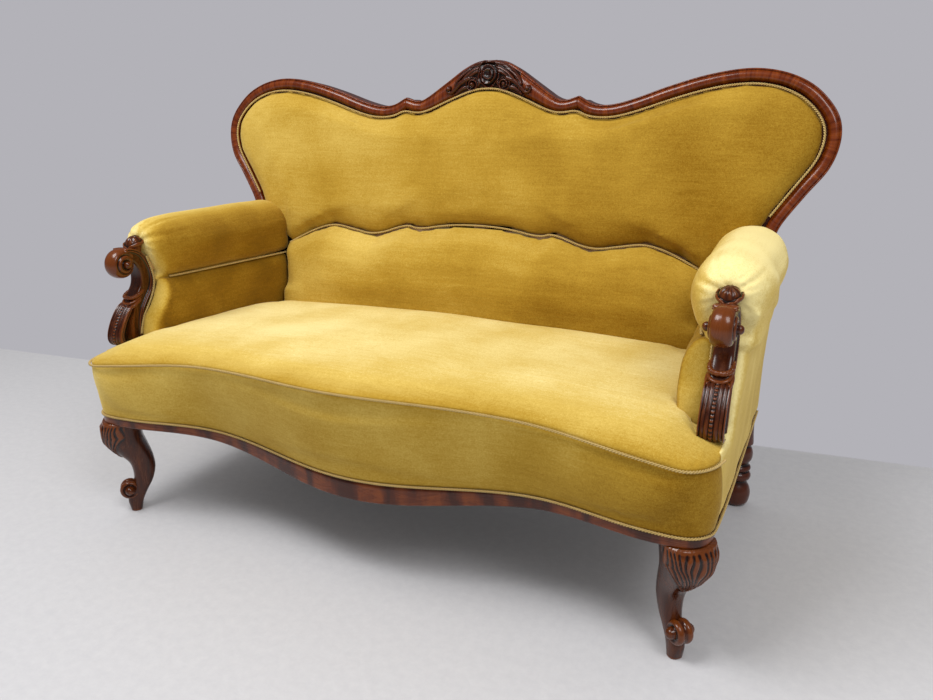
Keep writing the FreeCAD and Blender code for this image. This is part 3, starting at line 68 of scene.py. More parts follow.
def patch(points, wrap_a=False, wrap_b=False, cap_a=False):
    """Quads between the points of a grid, points[a, b].

    wrap joins the last row or column to the first. cap_a closes the first and the last row with a
    fan round the middle of that row.
    """
    points = np.asarray(points, float)
    rows, cols = points.shape[:2]
    index = np.arange(rows * cols).reshape(rows, cols)
    full = points
    if wrap_a:
        index = np.vstack([index, index[:1]])
        full = np.concatenate([full, full[:1]], axis=0)
    if wrap_b:
        index = np.hstack([index, index[:, :1]])
        full = np.concatenate([full, full[:, :1]], axis=1)
    along, across = np.meshgrid(walked(full, 0), walked(full, 1), indexing="ij")
    uv = np.stack([across, along], axis=-1)

    def corners(grid):
        return np.stack([grid[:-1, :-1], grid[:-1, 1:], grid[1:, 1:], grid[1:, :-1]], axis=2)

    quads = corners(index).reshape(-1, 4)
    quad_uv = corners(uv).reshape(-1, 4, 2)
    flat = points.reshape(-1, 3)
    fans = np.zeros((0, 3), int)
    fan_uv = np.zeros((0, 3, 2))
    if cap_a:
        middles = np.stack([points[0].mean(axis=0), points[-1].mean(axis=0)])
        first, last = len(flat), len(flat) + 1
        flat = np.vstack([flat, middles])
        ends = []
        for row, middle in ((index[0], first), (index[-1][::-1], last)):
            ends.append(np.stack([row[1:], row[:-1], np.full(len(row) - 1, middle)], axis=1))
        fans = np.vstack(ends)
        fan_uv = flat[fans][:, :, [0, 2]]
    return flat, quads, quad_uv, fans, fan_uv


def skin(points):
    """A closed skin: each row of points is a ring, and both ends are capped."""
    return patch(points, wrap_b=True, cap_a=True)


def mirror_patch(made):
    """The same patch on the other side of the middle plane: x turns round, and so do the faces."""
    flat, quads, quad_uv, fans, fan_uv = made
    turned = flat * np.array([-1.0, 1.0, 1.0])
    return turned, quads[:, ::-1], quad_uv[:, ::-1], fans[:, ::-1], fan_uv[:, ::-1]


def mesh_of(name, patches):
    """One mesh in metres from several patches in millimetres, with its UV map in metres."""
    flats, quads, tris, uvs_q, uvs_t, start = [], [], [], [], [], 0
    for flat, quad, quad_uv, fan, fan_uv in patches:
        flats.append(flat)
        quads.append(quad + start)
        tris.append(fan + start)
        uvs_q.append(quad_uv.reshape(-1, 2))
        uvs_t.append(fan_uv.reshape(-1, 2))
        start += len(flat)
    verts = np.vstack(flats) * MM
    quads, tris = np.vstack(quads), np.vstack(tris)
    loops = np.concatenate([quads.ravel(), tris.ravel()]).astype(np.int32)
    starts = np.concatenate([np.arange(len(quads)) * 4, len(quads) * 4 + np.arange(len(tris)) * 3])
    mesh = bpy.data.meshes.new(name)
    mesh.vertices.add(len(verts))
    mesh.vertices.foreach_set("co", verts.astype(np.float32).ravel())
    mesh.loops.add(len(loops))
    mesh.loops.foreach_set("vertex_index", loops)
    mesh.polygons.add(len(starts))
    mesh.polygons.foreach_set("loop_start", starts.astype(np.int32))
    layer = mesh.uv_layers.new(name="Surface")
    uv = np.vstack([np.vstack(uvs_q), np.vstack(uvs_t)]) * MM
    layer.uv.foreach_set("vector", uv.astype(np.float32).ravel())
    mesh.update(calc_edges=True)
    mesh.validate()
    return mesh


def tidy(mesh, weld=2e-5):
    """Doubled points are merged, then every closed shell gets normals that point outwards."""
    work = bmesh.new()
    work.from_mesh(mesh)
    bmesh.ops.remove_doubles(work, verts=work.verts, dist=weld)
    bmesh.ops.dissolve_degenerate(work, edges=work.edges, dist=1e-7)
    bmesh.ops.recalc_face_normals(work, faces=work.faces)
    work.to_mesh(mesh)
    work.free()
    mesh.polygons.foreach_set("use_smooth", np.ones(len(mesh.polygons), bool))
    mesh.update()


# %% [markdown]
# ## Reading and changing a mesh
# A stuffed or carved shape is worked on as a whole list of points. Blender keeps them in the mesh, and
# arrays are a hundred times faster than a loop over points. A carver's wax settles in recesses and the
# polish wears bright on ridges, where a painted highlight goes too, so `hollow` is measured from the
# mesh: how deep a point lies under the mean of its neighbours.

# %% Points, normals and neighbours


def unit(value):
    """A value cut to lie between 0 and 1."""
    return np.clip(value, 0.0, 1.0)


def read(items, field, width, kind=np.float32):
    """One field of all points or edges of a mesh as an array with a row for each."""
    flat = np.empty(len(items) * width, kind)
    items.foreach_get(field, flat)
    return flat.reshape(-1, width)


def points_of(mesh):
    """The mesh's points as an array in millimetres."""
    return read(mesh.vertices, "co", 3).astype(float) / MM


def normals_of(mesh):
    """The mesh's normals, one for each point."""
    return read(mesh.vertices, "normal", 3).astype(float)


def put_points(mesh, points):
    """Points in millimetres go back into a mesh in metres."""
    mesh.vertices.foreach_set("co", (points * MM).astype(np.float32).ravel())
    mesh.update()


def put_values(mesh, name, values):
    """One number for each point of a mesh, which a material reads under that name."""
    attribute = mesh.attributes.get(name) or mesh.attributes.new(name, "FLOAT", "POINT")
    attribute.data.foreach_set("value", np.asarray(values, np.float32))


def neighbour_mean(values, edges, count):
    """For each point, the mean of the values at the points that share an edge with it."""
    ends = np.concatenate([edges[:, 0], edges[:, 1]])
    others = np.concatenate([edges[:, 1], edges[:, 0]])
    degree = np.maximum(np.bincount(ends, minlength=count), 1)
    if values.ndim == 1:
        return np.bincount(ends, weights=values[others], minlength=count) / degree
    return np.stack([np.bincount(ends, weights=values[others, k], minlength=count) / degree
                     for k in range(values.shape[1])], axis=1)


def hollows(mesh, passes=3, scale=0.9):
    """How deep each point lies under its neighbours: above 0.5 in a recess, below 0.5 on a ridge.

    The distance from a point to its neighbours' mean, along the normal, smoothed a few times.
    """
    points, edges = points_of(mesh), read(mesh.edges, "vertices", 2, np.int32)
    normals = normals_of(mesh)
    reach = points.copy()
    for _ in range(passes):
        reach = neighbour_mean(reach, edges, len(points))
    depth = np.einsum("ij,ij->i", reach - points, normals)
    for _ in range(2):
        depth = 0.5 * depth + 0.5 * neighbour_mean(depth, edges, len(points))
    put_values(mesh, "hollow", unit(0.5 + depth * scale))


# %% [markdown]
# ## Pieces
# A piece is one object with one finish. It rides on the sofa's one body, takes its material, and hides
# the solids of the imported model that it stands for. Left and right twins share one drawing.

# %% Make a piece


def placed(name, data):
    """A new object in the scene."""
    made = bpy.data.objects.new(name, data)
    bpy.context.scene.collection.objects.link(made)
    return made


def finish_piece(name, mesh, material, replaced=()):
    """Links the mesh as a piece of the sofa that rides on its one body."""
    made = placed(name, mesh)
    mesh.materials.clear()
    mesh.materials.append(material)
    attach(made, "root")
    if replaced:
        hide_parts(*replaced)
    return made


def piece(name, patches, material, replaced=(), carved=0.0):
    """A named piece from patches, welded, closed and smooth."""
    mesh = mesh_of(name, patches)
    tidy(mesh)
    if carved:
        hollows(mesh, scale=carved)
    made = finish_piece(name, mesh, material, replaced)
    print(name, len(mesh.polygons), "faces")
    return made


def pair(name, patches, material, node, carved=0.0):
    """A piece on the right and its mirror image on the left."""
    for side in ("right", "left"):
        made = patches if side == "right" else [mirror_patch(part) for part in patches]
        piece(name + side, made, material, [node + side], carved)


# %% [markdown]
# ## Curves
# Every seam, moulding and carved stem follows a drawn line. A curve that passes through its points is
# easiest to draw with, so a Catmull-Rom curve is used: on each span it is a cubic whose slope at a
# point is half of the step between that point's two neighbours.

# %% A smooth curve through drawn points


def flowing(points, spacing=None, count=None):
    """A Catmull-Rom curve through the points, walked in even steps.

    On a span from p1 to p2 it is (2 p1 + (p2 - p0) t + (2 p0 - 5 p1 + 4 p2 - p3) t^2
    + (3 p1 - p0 - 3 p2 + p3) t^3) / 2.
    """
    line = np.asarray(points, float)
    padded = np.vstack([2 * line[0] - line[1], line, 2 * line[-1] - line[-2]])
    t = np.linspace(0.0, 1.0, 24, endpoint=False)[None, :, None]
    p0, p1, p2, p3 = (padded[k:len(padded) - 3 + k][:, None, :] for k in range(4))
    spans = 0.5 * (2 * p1 + (p2 - p0) * t + (2 * p0 - 5 * p1 + 4 * p2 - p3) * t ** 2
                   + (3 * p1 - p0 - 3 * p2 + p3) * t ** 3)
    dense = np.vstack([spans.reshape(-1, line.shape[1]), line[-1:]])
    return evenly(dense, spacing, count)


def evenly(dense, spacing=None, count=None):
    """The same line with its points at even steps."""
    walk = np.concatenate([[0.0], np.cumsum(np.linalg.norm(np.diff(dense, axis=0), axis=1))])
    count = count or max(int(round(walk[-1] / spacing)) + 1, 3)
    at = np.linspace(0.0, walk[-1], count)
    return np.stack([np.interp(at, walk, dense[:, k]) for k in range(dense.shape[1])], axis=1)


def headings(line):
    """Unit vectors along a line."""
    slope = np.gradient(line, axis=0)
    return slope / np.linalg.norm(slope, axis=1, keepdims=True)


def wave(place, start, end, at_start, at_end):
    """A half cosine from one value to another."""
    share = unit((place - start) / (end - start))
    return at_start + (at_end - at_start) * (1 - np.cos(np.pi * share)) / 2


def bump(place, middle, reach):
    """A bell: 1 at the middle and near 0 beyond twice the reach."""
    return np.exp(-((place - middle) / reach) ** 2)


def powered(value, power):
    """A power that keeps the sign."""
    return np.sign(value) * np.abs(value) ** power


def across_line(line, reference):
    """Two unit vectors square to a line at each point: one square to the reference, one to both."""
    ahead = headings(line)
    side = np.cross(ahead, np.asarray(reference, float))
    side /= np.linalg.norm(side, axis=1, keepdims=True)
    return side, np.cross(side, ahead)


def round_bar(line, side, up, radius, sides):
    """A bar round a line: place = line + radius (cos t side + sin t up)."""
    turn = np.arange(sides) * 2 * np.pi / sides
    ring = np.cos(turn)[None, :, None] * side[:, None] + np.sin(turn)[None, :, None] * up[:, None]
    return skin(line[:, None] + radius * ring)


# %% [markdown]
# ## The lines of the sofa
# The seat front is a serpentine: a belly in the middle, two hollows and two rounded corners. The back
# is drawn as one half and mirrored. The numbers are the model's own, so new pieces meet the old ones.

# %% The front, the seams and the leaning back
HALF_WIDTH = 738.0
CORNER_RADIUS = 55.0
CORNER_X = HALF_WIDTH - CORNER_RADIUS
CORNER_Y = -309.0
RETURN_Y = -149.0
FRAME_BACK = 394.0
LEG_HEIGHT = 252.0
SUPPORT_X = 713.5
SEAT_CROWN = 478.0


def front_line(x):
    """How far forward the rail line lies: 359 in the middle, 311 in the hollows, 364 at the corners."""
    x = np.abs(x)
    return np.where(x <= 370.0, wave(x, 0.0, 370.0, 359.0, 311.0), wave(x, 370.0, 650.0, 311.0, 364.0))


def dipped(x, level, dip):
    """A height that is level at the corners and lower in the middle."""
    return wave(np.abs(x), 0.0, 585.0, level - dip, level)


def gimp_level(x):
    """Height of the cord over the polished rail."""
    return dipped(x, 275.0, 30.0)


def seam_level(x):
    """Height of the seat seam: a shallow arch."""
    return 410.0 + 49.0 * (1 - np.minimum(np.abs(x) / CORNER_X, 1.0) ** 2)


def seam_stand(x):
    """How far the seat seam stands out over the rail line."""
    return wave(np.abs(x), 0.37 * CORNER_X, CORNER_X, 64.0, 20.0)


def from_middle(half):
    """A half line drawn from the middle to the right, with its mirror image put before it."""
    return np.vstack([half[:0:-1] * [-1.0, 1.0], half])


def rail_line(step=6.0):
    """The rail line in plan from the left end round the front to the right end, and which way is out."""
    x = np.arange(0.0, CORNER_X, step)
    y = -front_line(x)
    slope = np.gradient(-y, x)
    out = np.stack([-slope, -np.ones_like(x)], axis=1)
    out[0] = (0.0, -1.0)
    out /= np.linalg.norm(out, axis=1, keepdims=True)
    half = np.stack([x, y], axis=1)
    angle = np.linspace(0.0, np.pi / 2, 15)
    turn = np.stack([np.sin(angle), -np.cos(angle)], axis=1)
    corner = np.array([CORNER_X, CORNER_Y]) + CORNER_RADIUS * turn
    back = np.stack([np.full(27, HALF_WIDTH), np.linspace(CORNER_Y, RETURN_Y, 28)[1:]], axis=1)
    line = np.vstack([half, corner, back])
    outward = np.vstack([out, turn, np.tile([1.0, 0.0], (27, 1))])
    return from_middle(line), from_middle(outward)


LEAN = math.radians(10.25)
REAR_LEAN = math.radians(2.33)


def front_plane(z, depth=0.0):
    """How far back the leaning front of the back lies at a height, and further in by a depth."""
    return 379.0 - np.tan(LEAN) * (1112.0 - z) + depth / np.cos(LEAN)


def rear_plane(z, depth=0.0):
    """The rear of the back: upright up to the rail, then leaning back a little."""
    return FRAME_BACK + np.tan(REAR_LEAN) * np.maximum(z - 327.0, 0.0) - depth


EAR_EDGE = [(736, 640), (737, 692), (755, 738), (798, 803), (838, 860), (854, 915), (849, 965),
            (822, 1008), (778, 1046), (717, 1071), (645, 1079), (557, 1067), (470, 1043), (385, 1014),
            (330, 1001), (285, 1003), (246, 1022)]
CREST_EDGE = [(246, 1022), (212, 1013), (183, 1020), (120, 1062), (76, 1092), (38, 1109), (0, 1112)]
CREST_INNER = [(246, 991), (208, 984), (175, 988), (109, 1017), (42, 1042), (0, 1046)]
LUMBAR_SEAM = [(0, 692), (90, 688), (178, 671), (213, 684), (312, 648), (390, 662), (456, 673),
               (536, 647), (606, 610)]


MOULDING_WIDTH = 29.0


def both_sides(line):
    """A line from the right to the middle, carried on to its mirror image on the left."""
    line = np.asarray(line, float)
    flip = np.ones(line.shape[1])
    flip[0] = -1.0
    return np.vstack([line, line[-2::-1] * flip])


def arm_share(y):
    """0 at the front end of an arm pad and 1 at its rear end."""
    return (y + 186.0) / 476.0


def arm_face(y):
    """Inner face of the lower arm pad."""
    return 640.0 - 26.0 * arm_share(y)


def arm_seam_place(y):
    """Where the seam under the roll lies across the sofa: flared out in front."""
    return arm_face(y) + 24.0 - 19.0 * arm_share(y)


# %% [markdown]
# ## Finishes: how a material is put together
# A material is a small network of nodes. Colours are written as sRGB hex values, as a paint chart
# gives them, and one function turns them into the linear numbers that light is counted in.

# %% Colours and nodes


def colour(hex_text):
    """An sRGB hex value as linear red, green, blue and alpha."""
    parts = np.array([int(hex_text[k:k + 2], 16) for k in (0, 2, 4)]) / 255.0
    linear = np.where(parts <= 0.04045, parts / 12.92, ((parts + 0.055) / 1.055) ** 2.4)
    return (*map(float, linear), 1.0)


def add(tree, kind, links=None, values=None, **settings):
    """Adds a node: settings are its own options, values fill sockets, links join them to others."""
    made = tree.nodes.new("ShaderNode" + kind)
    for key, value in settings.items():
        setattr(made, key, value)
    for key, value in (values or {}).items():
        made.inputs[key].default_value = value
    for key, source in (links or {}).items():
        tree.links.new(source, made.inputs[key])
    return made


def ramp(tree, factor, stops):
    """A colour ramp with stops as pairs of place and hex value."""
    made = add(tree, "ValToRGB", {"Fac": factor})
    band = made.color_ramp
    while len(band.elements) < len(stops):
        band.elements.new(0.5)
    for element, (place, text) in zip(band.elements, stops):
        element.position = place
        element.color = colour(text)
    return made.outputs["Color"]


def new_material(name):
    """A material with a shader and an output, its node tree and the shader."""
    material = bpy.data.materials.new(name)
    material.use_nodes = True
    tree = material.node_tree
    tree.nodes.clear()
    shader = add(tree, "BsdfPrincipled")
    add(tree, "OutputMaterial", {"Surface": shader.outputs["BSDF"]})
    return material, tree, shader


def stretched(tree, source, scale):
    """Coordinates multiplied by a scale for each axis, so that a pattern is drawn out along one."""
    return add(tree, "Mapping", {"Vector": source}, {"Scale": scale}).outputs["Vector"]


def noise(tree, place, scale, detail, rough=0.5, distortion=0.0):
    """A cloudy value about 0.5 in patches of 1 / scale."""
    values = {"Scale": scale, "Detail": detail, "Roughness": rough, "Distortion": distortion}
    return add(tree, "TexNoise", {"Vector": place}, values).outputs["Fac"]


def spread(tree, value, low, high, to_low=0.0, to_high=1.0, clamp=True):
    """A value between low and high, moved to lie between to_low and to_high."""
    values = {"From Min": low, "From Max": high, "To Min": to_low, "To Max": to_high}
    return add(tree, "MapRange", {"Value": value}, values, clamp=clamp).outputs["Result"]


def joined(tree, operation, first, second, use_clamp=False):
    """Two values added or multiplied."""
    links = {0: first, 1: second}
    return add(tree, "Math", links, operation=operation, use_clamp=use_clamp).outputs["Value"]


def mixed(tree, factor, first, second, blend_type="MIX"):
    """Two colours mixed by a factor. Each is a socket, and a number or a hex text stands for itself."""
    links, values = {}, {}
    for key, part in (("Factor", factor), (6, first), (7, second)):
        if isinstance(part, str):
            values[key] = colour(part)
        elif isinstance(part, float):
            values[key] = part
        else:
            links[key] = part
    return add(tree, "Mix", links, values, data_type="RGBA", blend_type=blend_type).outputs[2]


def finished(tree, shader, base, values, relief=None):
    """The shader takes its colour, its other inputs and a relief of a height, strength and distance."""
    tree.links.new(base, shader.inputs["Base Color"])
    for key, value in values.items():
        shader.inputs[key].default_value = value
    if relief:
        height, strength, distance = relief
        made = add(tree, "Bump", {"Height": height}, {"Strength": strength, "Distance": distance})
        tree.links.new(made.outputs["Normal"], shader.inputs["Normal"])


# %% [markdown]
# ## Mohair velvet
# Mohair velvet is woven as two cloths face to face, with a goat-hair pile between them that is cut
# through the middle. The short upright pile is what the eye sees: it takes in light when one looks
# down into it and gives off a pale bloom at a grazing angle, which is the shader's sheen. Brushed and
# sat-on places lean one way and read lighter. Each pad carries one value for this, from 0, dark, to
# 1, pale, and the same value holds painted light and shade as well: tops and faces to the left painted
# paler, inward faces, creases and the right-hand side painted darker. Pile rows are about 0.7 mm apart,
# too fine for a picture of a whole sofa, so they are drawn as faint streaks 6 mm wide along the weave,
# with tufts of 2 and 5 mm between them.

# %% The velvet
# From the darkest velvet to the palest: the dark end also stands for painted shade, the pale end for painted
# light.
VELVET_STOPS = [(0.0, "583D02"), (0.25, "855F08"), (0.5, "AD892C"), (0.75, "CEB058"), (1.0, "F0DF9C")]
PILE_ROW = 0.0016
STREAK = 0.006
PATCH = 0.16
SHEEN = "F2DC98"


def mohair(name, along):
    """Old-gold mohair velvet. along is the axis of the weave: 0 across the sofa, 1 front to back."""
    material, tree, shader = new_material(name)
    place = add(tree, "TexCoord").outputs["Object"]
    across = [1 / STREAK] * 3
    across[along] = 1 / (STREAK * 14)
    streaks = noise(tree, stretched(tree, place, across), 1.0, 4.0, 0.65)
    patches = noise(tree, place, 1 / PATCH, 5.0, 0.62, 0.4)
    pile = noise(tree, place, 1 / PILE_ROW, 2.0, 0.7)
    tufts = noise(tree, place, 1 / (PILE_ROW * 3), 3.0, 0.7)
    # Each pad's pile tone, which holds painted light and shade too, sets the tone here.
    total = add(tree, "Attribute", attribute_name="nap_and_painted_light").outputs["Fac"]
    for source, amount in ((patches, 0.055), (streaks, 0.034), (tufts, 0.05), (pile, 0.09)):
        swing = spread(tree, source, 0.3, 0.7, -amount, amount, clamp=False)
        total = joined(tree, "ADD", total, swing)
    finished(tree, shader, ramp(tree, total, VELVET_STOPS),
             {"Roughness": 0.85, "Specular IOR Level": 0.15, "Sheen Weight": 0.45, "Sheen Roughness": 0.38,
              "Sheen Tint": colour(SHEEN)}, (joined(tree, "ADD", pile, streaks), 0.35, 0.0012))
    return material


velvet_across = mohair("mohair velvet, weave across", 0)
velvet_along = mohair("mohair velvet, weave front to back", 1)

# %% [markdown]
# ## Twisted cord
# The cord that hides each seam is two plies of mercerised cotton and silk waste laid together. Each
# ply is itself twisted, so fine slanting threads show on it. They are drawn along the ply's own UV
# map as bands of about 0.7 mm.

# %% The cord's finish
THREAD = 0.0011
SLANT = 0.9


def laid_cord():
    """Gold threads in two shades, with painted shade between the plies."""
    material, tree, shader = new_material("gimp cord, cotton and silk")
    uv = add(tree, "UVMap", uv_map="Surface").outputs["UV"]
    slanted = add(tree, "Mapping", {"Vector": uv},
                  {"Rotation": (0.0, 0.0, SLANT), "Scale": (1 / THREAD, 1 / THREAD, 1.0)})
    threads = add(tree, "TexWave", {"Vector": slanted.outputs["Vector"]},
                  {"Scale": 0.5, "Distortion": 1.2, "Detail": 2.0, "Detail Scale": 1.5},
                  wave_type="BANDS").outputs["Fac"]
    worn = noise(tree, add(tree, "TexCoord").outputs["Object"], 24.0, 4.0)
    shades = mixed(tree, worn, ramp(tree, threads, [(0.0, "8C6A2C"), (1.0, "D6B76A")]),
                   ramp(tree, threads, [(0.0, "A5803A"), (1.0, "E6CF90")]))
    # Painted shade in the groove between the two plies.
    deep = add(tree, "Attribute", attribute_name="hollow").outputs["Fac"]
    finished(tree, shader, mixed(tree, deep, shades, "6A4E14"),
             {"Roughness": 0.6, "Sheen Weight": 0.3, "Sheen Tint": colour(SHEEN)}, (threads, 0.5, 0.0006))
    return material


cord_finish = laid_cord()

# %% [markdown]
# ## French-polished mahogany
# Mahogany is stained red-brown and polished with many thin coats of shellac, which give a deep warm
# gloss: a clear coat over a wood whose pores are 0.2 to 0.3 mm wide and several millimetres long. The
# grain is a noise drawn out along the wood. On carved work the polish gathers dark wax in the
# hollows and wears bright on the ridges, and the mesh carries that as the value `hollow`. The bright
# ridge colour is also a painted highlight.

# %% Solid, carved and figured mahogany
PORE = 0.0007
BEECH_STAIN = [(0.0, "2A0E05"), (0.5, "3C1608"), (1.0, "4C2010")]


def mahogany(name, stops, along=2, uv=False, flame=False, carved=None, rough=0.3):
    """French-polished mahogany, grain along one axis, ridges rubbed to one colour that also paints a
    highlight.
    """
    material, tree, shader = new_material(name)
    if uv:
        place = add(tree, "UVMap", uv_map="Surface").outputs["UV"]
    else:
        place = add(tree, "TexCoord").outputs["Object"]
    fine = [1 / PORE] * 3
    fine[along] = 1 / (PORE * 22)
    wide = [1 / (PORE * 16)] * 3
    wide[along] = 1 / (PORE * 16 * 9)
    pores = noise(tree, stretched(tree, place, fine), 1.0, 3.0, 0.6)
    growth = noise(tree, stretched(tree, place, wide), 1.0, 4.0, 0.6, 1.2 if flame else 0.3)
    if flame:
        figure = add(tree, "TexWave", {"Vector": stretched(tree, place, (2.4, 6.0, 2.4))},
                     {"Scale": 1.0, "Distortion": 11.0, "Detail": 5.0, "Detail Scale": 1.2,
                      "Detail Roughness": 0.6}, wave_type="BANDS", bands_direction="DIAGONAL")
        tone = spread(tree, joined(tree, "MULTIPLY", figure.outputs["Fac"], growth), 0.02, 0.62)
    else:
        tone = spread(tree, growth, 0.28, 0.72)
    dark = spread(tree, pores, 0.3, 0.6, 0.72, 1.0)
    tinted = mixed(tree, 1.0, ramp(tree, tone, stops), dark, "MULTIPLY")
    if carved:
        deep = add(tree, "Attribute", attribute_name="hollow").outputs["Fac"]
        tinted = mixed(tree, spread(tree, deep, 0.52, 0.78, 0.0, 0.95), tinted, "120602")
        # Ridges rubbed to the carved colour: real wear, and a painted highlight too.
        tinted = mixed(tree, spread(tree, deep, 0.4, 0.05, 0.0, 0.55), tinted, carved)
    gloss = spread(tree, growth, 0.0, 1.0, rough - 0.08, rough + 0.12)
    tree.links.new(gloss, shader.inputs["Roughness"])
    finished(tree, shader, tinted, {"IOR": 1.5, "Specular IOR Level": 0.25, "Coat Weight": 0.35,
                                    "Coat Roughness": 0.12}, (pores, 0.12, 0.0003))
    return material


# Each carved colour below is the rubbed ridge colour, which also serves as a painted highlight.
polished = mahogany("French-polished mahogany",
                    [(0.0, "34100A"), (0.4, "451709"), (0.75, "56200C"), (1.0, "662A10")])
polished_leg = mahogany("French-polished mahogany, turned",
                        [(0.0, "200C06"), (0.5, "2E1006"), (1.0, "3E1A0A")], carved="5E2A12")
crossbanded = mahogany("French-polished mahogany, crossbanded",
                       [(0.0, "4E1A02"), (0.4, "642604"), (0.75, "783408"), (1.0, "8C440C")],
                       along=0, uv=True, rough=0.26)
flame_veneer = mahogany("French-polished mahogany, flame veneer",
                        [(0.0, "3C1503"), (0.3, "522005"), (0.6, "642B07"), (1.0, "7A3A0A")],
                        along=1, uv=True, flame=True, rough=0.26)
carved_wood = mahogany("French-polished mahogany, carved",
                       [(0.0, "2E1003"), (0.4, "3E1704"), (0.75, "4E2206"), (1.0, "5E2C08")],
                       carved="7C3E10", rough=0.24)
carved_dark = mahogany("French-polished mahogany, crest carving",
                       [(0.0, "1A0804"), (0.5, "280E06"), (1.0, "3A160A")],
                       along=0, carved="5A260E", rough=0.26)

# %% [markdown]
# ## Beech, steel and the hidden cloths
# The frame under the upholstery is planed beech with fine flecks. The springs are hard-drawn steel
# wire washed with copper. Webbing and hessian are jute in plain weaves, with a thread every 1.3 mm
# and every 0.9 mm. The linings are black cotton. The back posts are beech too, stained like the legs.

# %% Hidden finishes


def beech():
    """Pale wood with its grain across the sofa and fine flecks."""
    material, tree, shader = new_material("planed beech")
    place = add(tree, "TexCoord").outputs["Object"]
    grain = noise(tree, stretched(tree, place, (25.0, 160.0, 160.0)), 1.0, 4.0)
    flecks = noise(tree, stretched(tree, place, (180.0, 900.0, 900.0)), 1.0, 2.0)
    base = mixed(tree, 0.6, ramp(tree, grain, [(0.3, "A88155"), (0.7, "C9A57A")]),
                 ramp(tree, flecks, [(0.35, "B89470"), (0.5, "FFFFFF")]), "MULTIPLY")
    finished(tree, shader, base, {"Roughness": 0.62})
    return material


def wire():
    """Steel with a worn copper wash."""
    material, tree, shader = new_material("copper-washed spring steel")
    stain = noise(tree, add(tree, "TexCoord").outputs["Object"], 60.0, 3.0)
    finished(tree, shader, ramp(tree, stain, [(0.35, "6E5A4C"), (0.65, "9C7A60")]),
             {"Metallic": 1.0, "Roughness": 0.38})
    return material


def woven(name, pitch, low, high, axes="XY", uv_map="Surface"):
    """A plain weave: warp and weft as two waves at right angles, a thread apart.

    A wave texture of scale 1 repeats every pi / 10 metres, and a thread is 2 / pi of the pitch.
    """
    material, tree, shader = new_material(name)
    if uv_map:
        place = add(tree, "UVMap", uv_map=uv_map).outputs["UV"]
    else:
        place = add(tree, "TexCoord").outputs["Object"]
    warp, weft = (add(tree, "TexWave", {"Vector": place},
                      {"Scale": math.pi ** 2 / (20 * pitch), "Distortion": 0.4, "Detail": 1.0},
                      bands_direction=direction).outputs["Fac"] for direction in axes)
    weave = joined(tree, "MULTIPLY", warp, weft)
    tone = joined(tree, "ADD", weave, noise(tree, place, 14.0, 4.0))
    finished(tree, shader, ramp(tree, tone, [(0.3, low), (1.2, high)]), {"Roughness": 0.9},
             (weave, 0.5, 0.0008))
    return material


beech_wood = beech()
spring_wire = wire()
jute = woven("jute webbing", 0.002, "7A6440", "B59C6C")
hessian = woven("hessian", 0.0014, "8A7048", "C2A878")
lining = woven("black cotton lining", 0.0012, "1C1915", "463F36")
back_lining_cloth = woven("black cotton lining of the back", 0.0012, "1C1915", "463F36", "XZ", None)
stained = mahogany("stained beech", BEECH_STAIN, rough=0.42)

# %% [markdown]
# ## The hidden frame
# Rails, posts, slats and dowels already have their real shape in the model, so they stay as they are
# and only take a finish.

# %% Finish the frame's own pieces
BEECH_PIECES = ["arm_slat_left", "arm_slat_right", "arm_top_rail_left", "arm_top_rail_right",
                "back_bottom_rail", "back_cross_rail", "back_muntins", "back_post_left", "back_post_right",
                "corner_blocks", "front_rail_core", "leg_dowels", "seat_back_rail", "seat_side_rail_left",
                "seat_side_rail_right", "seat_stretcher"]
FRAME_WOOD = ["back_frame_crest", "back_frame_left", "back_frame_right"]


def dress(name, material):
    """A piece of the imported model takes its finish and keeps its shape."""
    item = nodes[name]
    item.data.materials.clear()
    item.data.materials.append(material)


for name in BEECH_PIECES:
    dress(name, beech_wood)
for name in ("back_post_left", "back_post_right"):
    dress(name, stained)
for name in FRAME_WOOD:
    dress(name, polished)

# %% [markdown]
# ## Stuffed pads
# A stuffed pad is a bag of cloth pulled over hair and springs. One could sculpt it, but a cloth that
# is blown up from inside finds its own round edges. A pad starts either as a copy of its solid,
# turned into an even mesh, or as a grid drawn by formula where its edge has to meet a seam exactly.
# It is rounded a little and then run as cloth with a light pressure for 20 frames. No point may move
# further than a cap, and points at a seam stay where the stitches hold them. Puckers and dimples are
# laid on afterwards by formula.

# %% Blow up a pad
FRAMES = 20
CLOTH = {"quality": 2, "mass": 0.4, "tension_stiffness": 12.0, "compression_stiffness": 12.0,
         "bending_stiffness": 1.2, "use_pressure": True, "uniform_pressure_force": 4.0}


def solid_copy(node):
    """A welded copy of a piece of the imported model."""
    mesh = nodes[node].data.copy()
    work = bmesh.new()
    work.from_mesh(mesh)
    bmesh.ops.remove_doubles(work, verts=work.verts, dist=1e-5)
    work.to_mesh(mesh)
    work.free()
    return mesh


def evaluated(item):
    """The mesh of an object with its modifiers applied."""
    graph = bpy.context.evaluated_depsgraph_get()
    return bpy.data.meshes.new_from_object(item.evaluated_get(graph))


def even_mesh(meshes, voxel):
    """Closed shapes fused into one even mesh of small quads, voxel millimetres wide."""
    whole = bmesh.new()
    for mesh in meshes:
        whole.from_mesh(mesh)
    joined_up = bpy.data.meshes.new("joined")
    whole.to_mesh(joined_up)
    whole.free()
    item = placed("joined", joined_up)
    remesh = item.modifiers.new("even", "REMESH")
    remesh.mode = "VOXEL"
    remesh.voxel_size = voxel * MM
    made = evaluated(item)
    bpy.data.objects.remove(item)
    return made


def smoothed(mesh, times, amount=0.5):
    """Each point goes part of the way to the mean of its neighbours, some times over."""
    points, edges = points_of(mesh), read(mesh.edges, "vertices", 2, np.int32)
    for _ in range(times):
        points = points + amount * (neighbour_mean(points, edges, len(points)) - points)
    put_points(mesh, points)


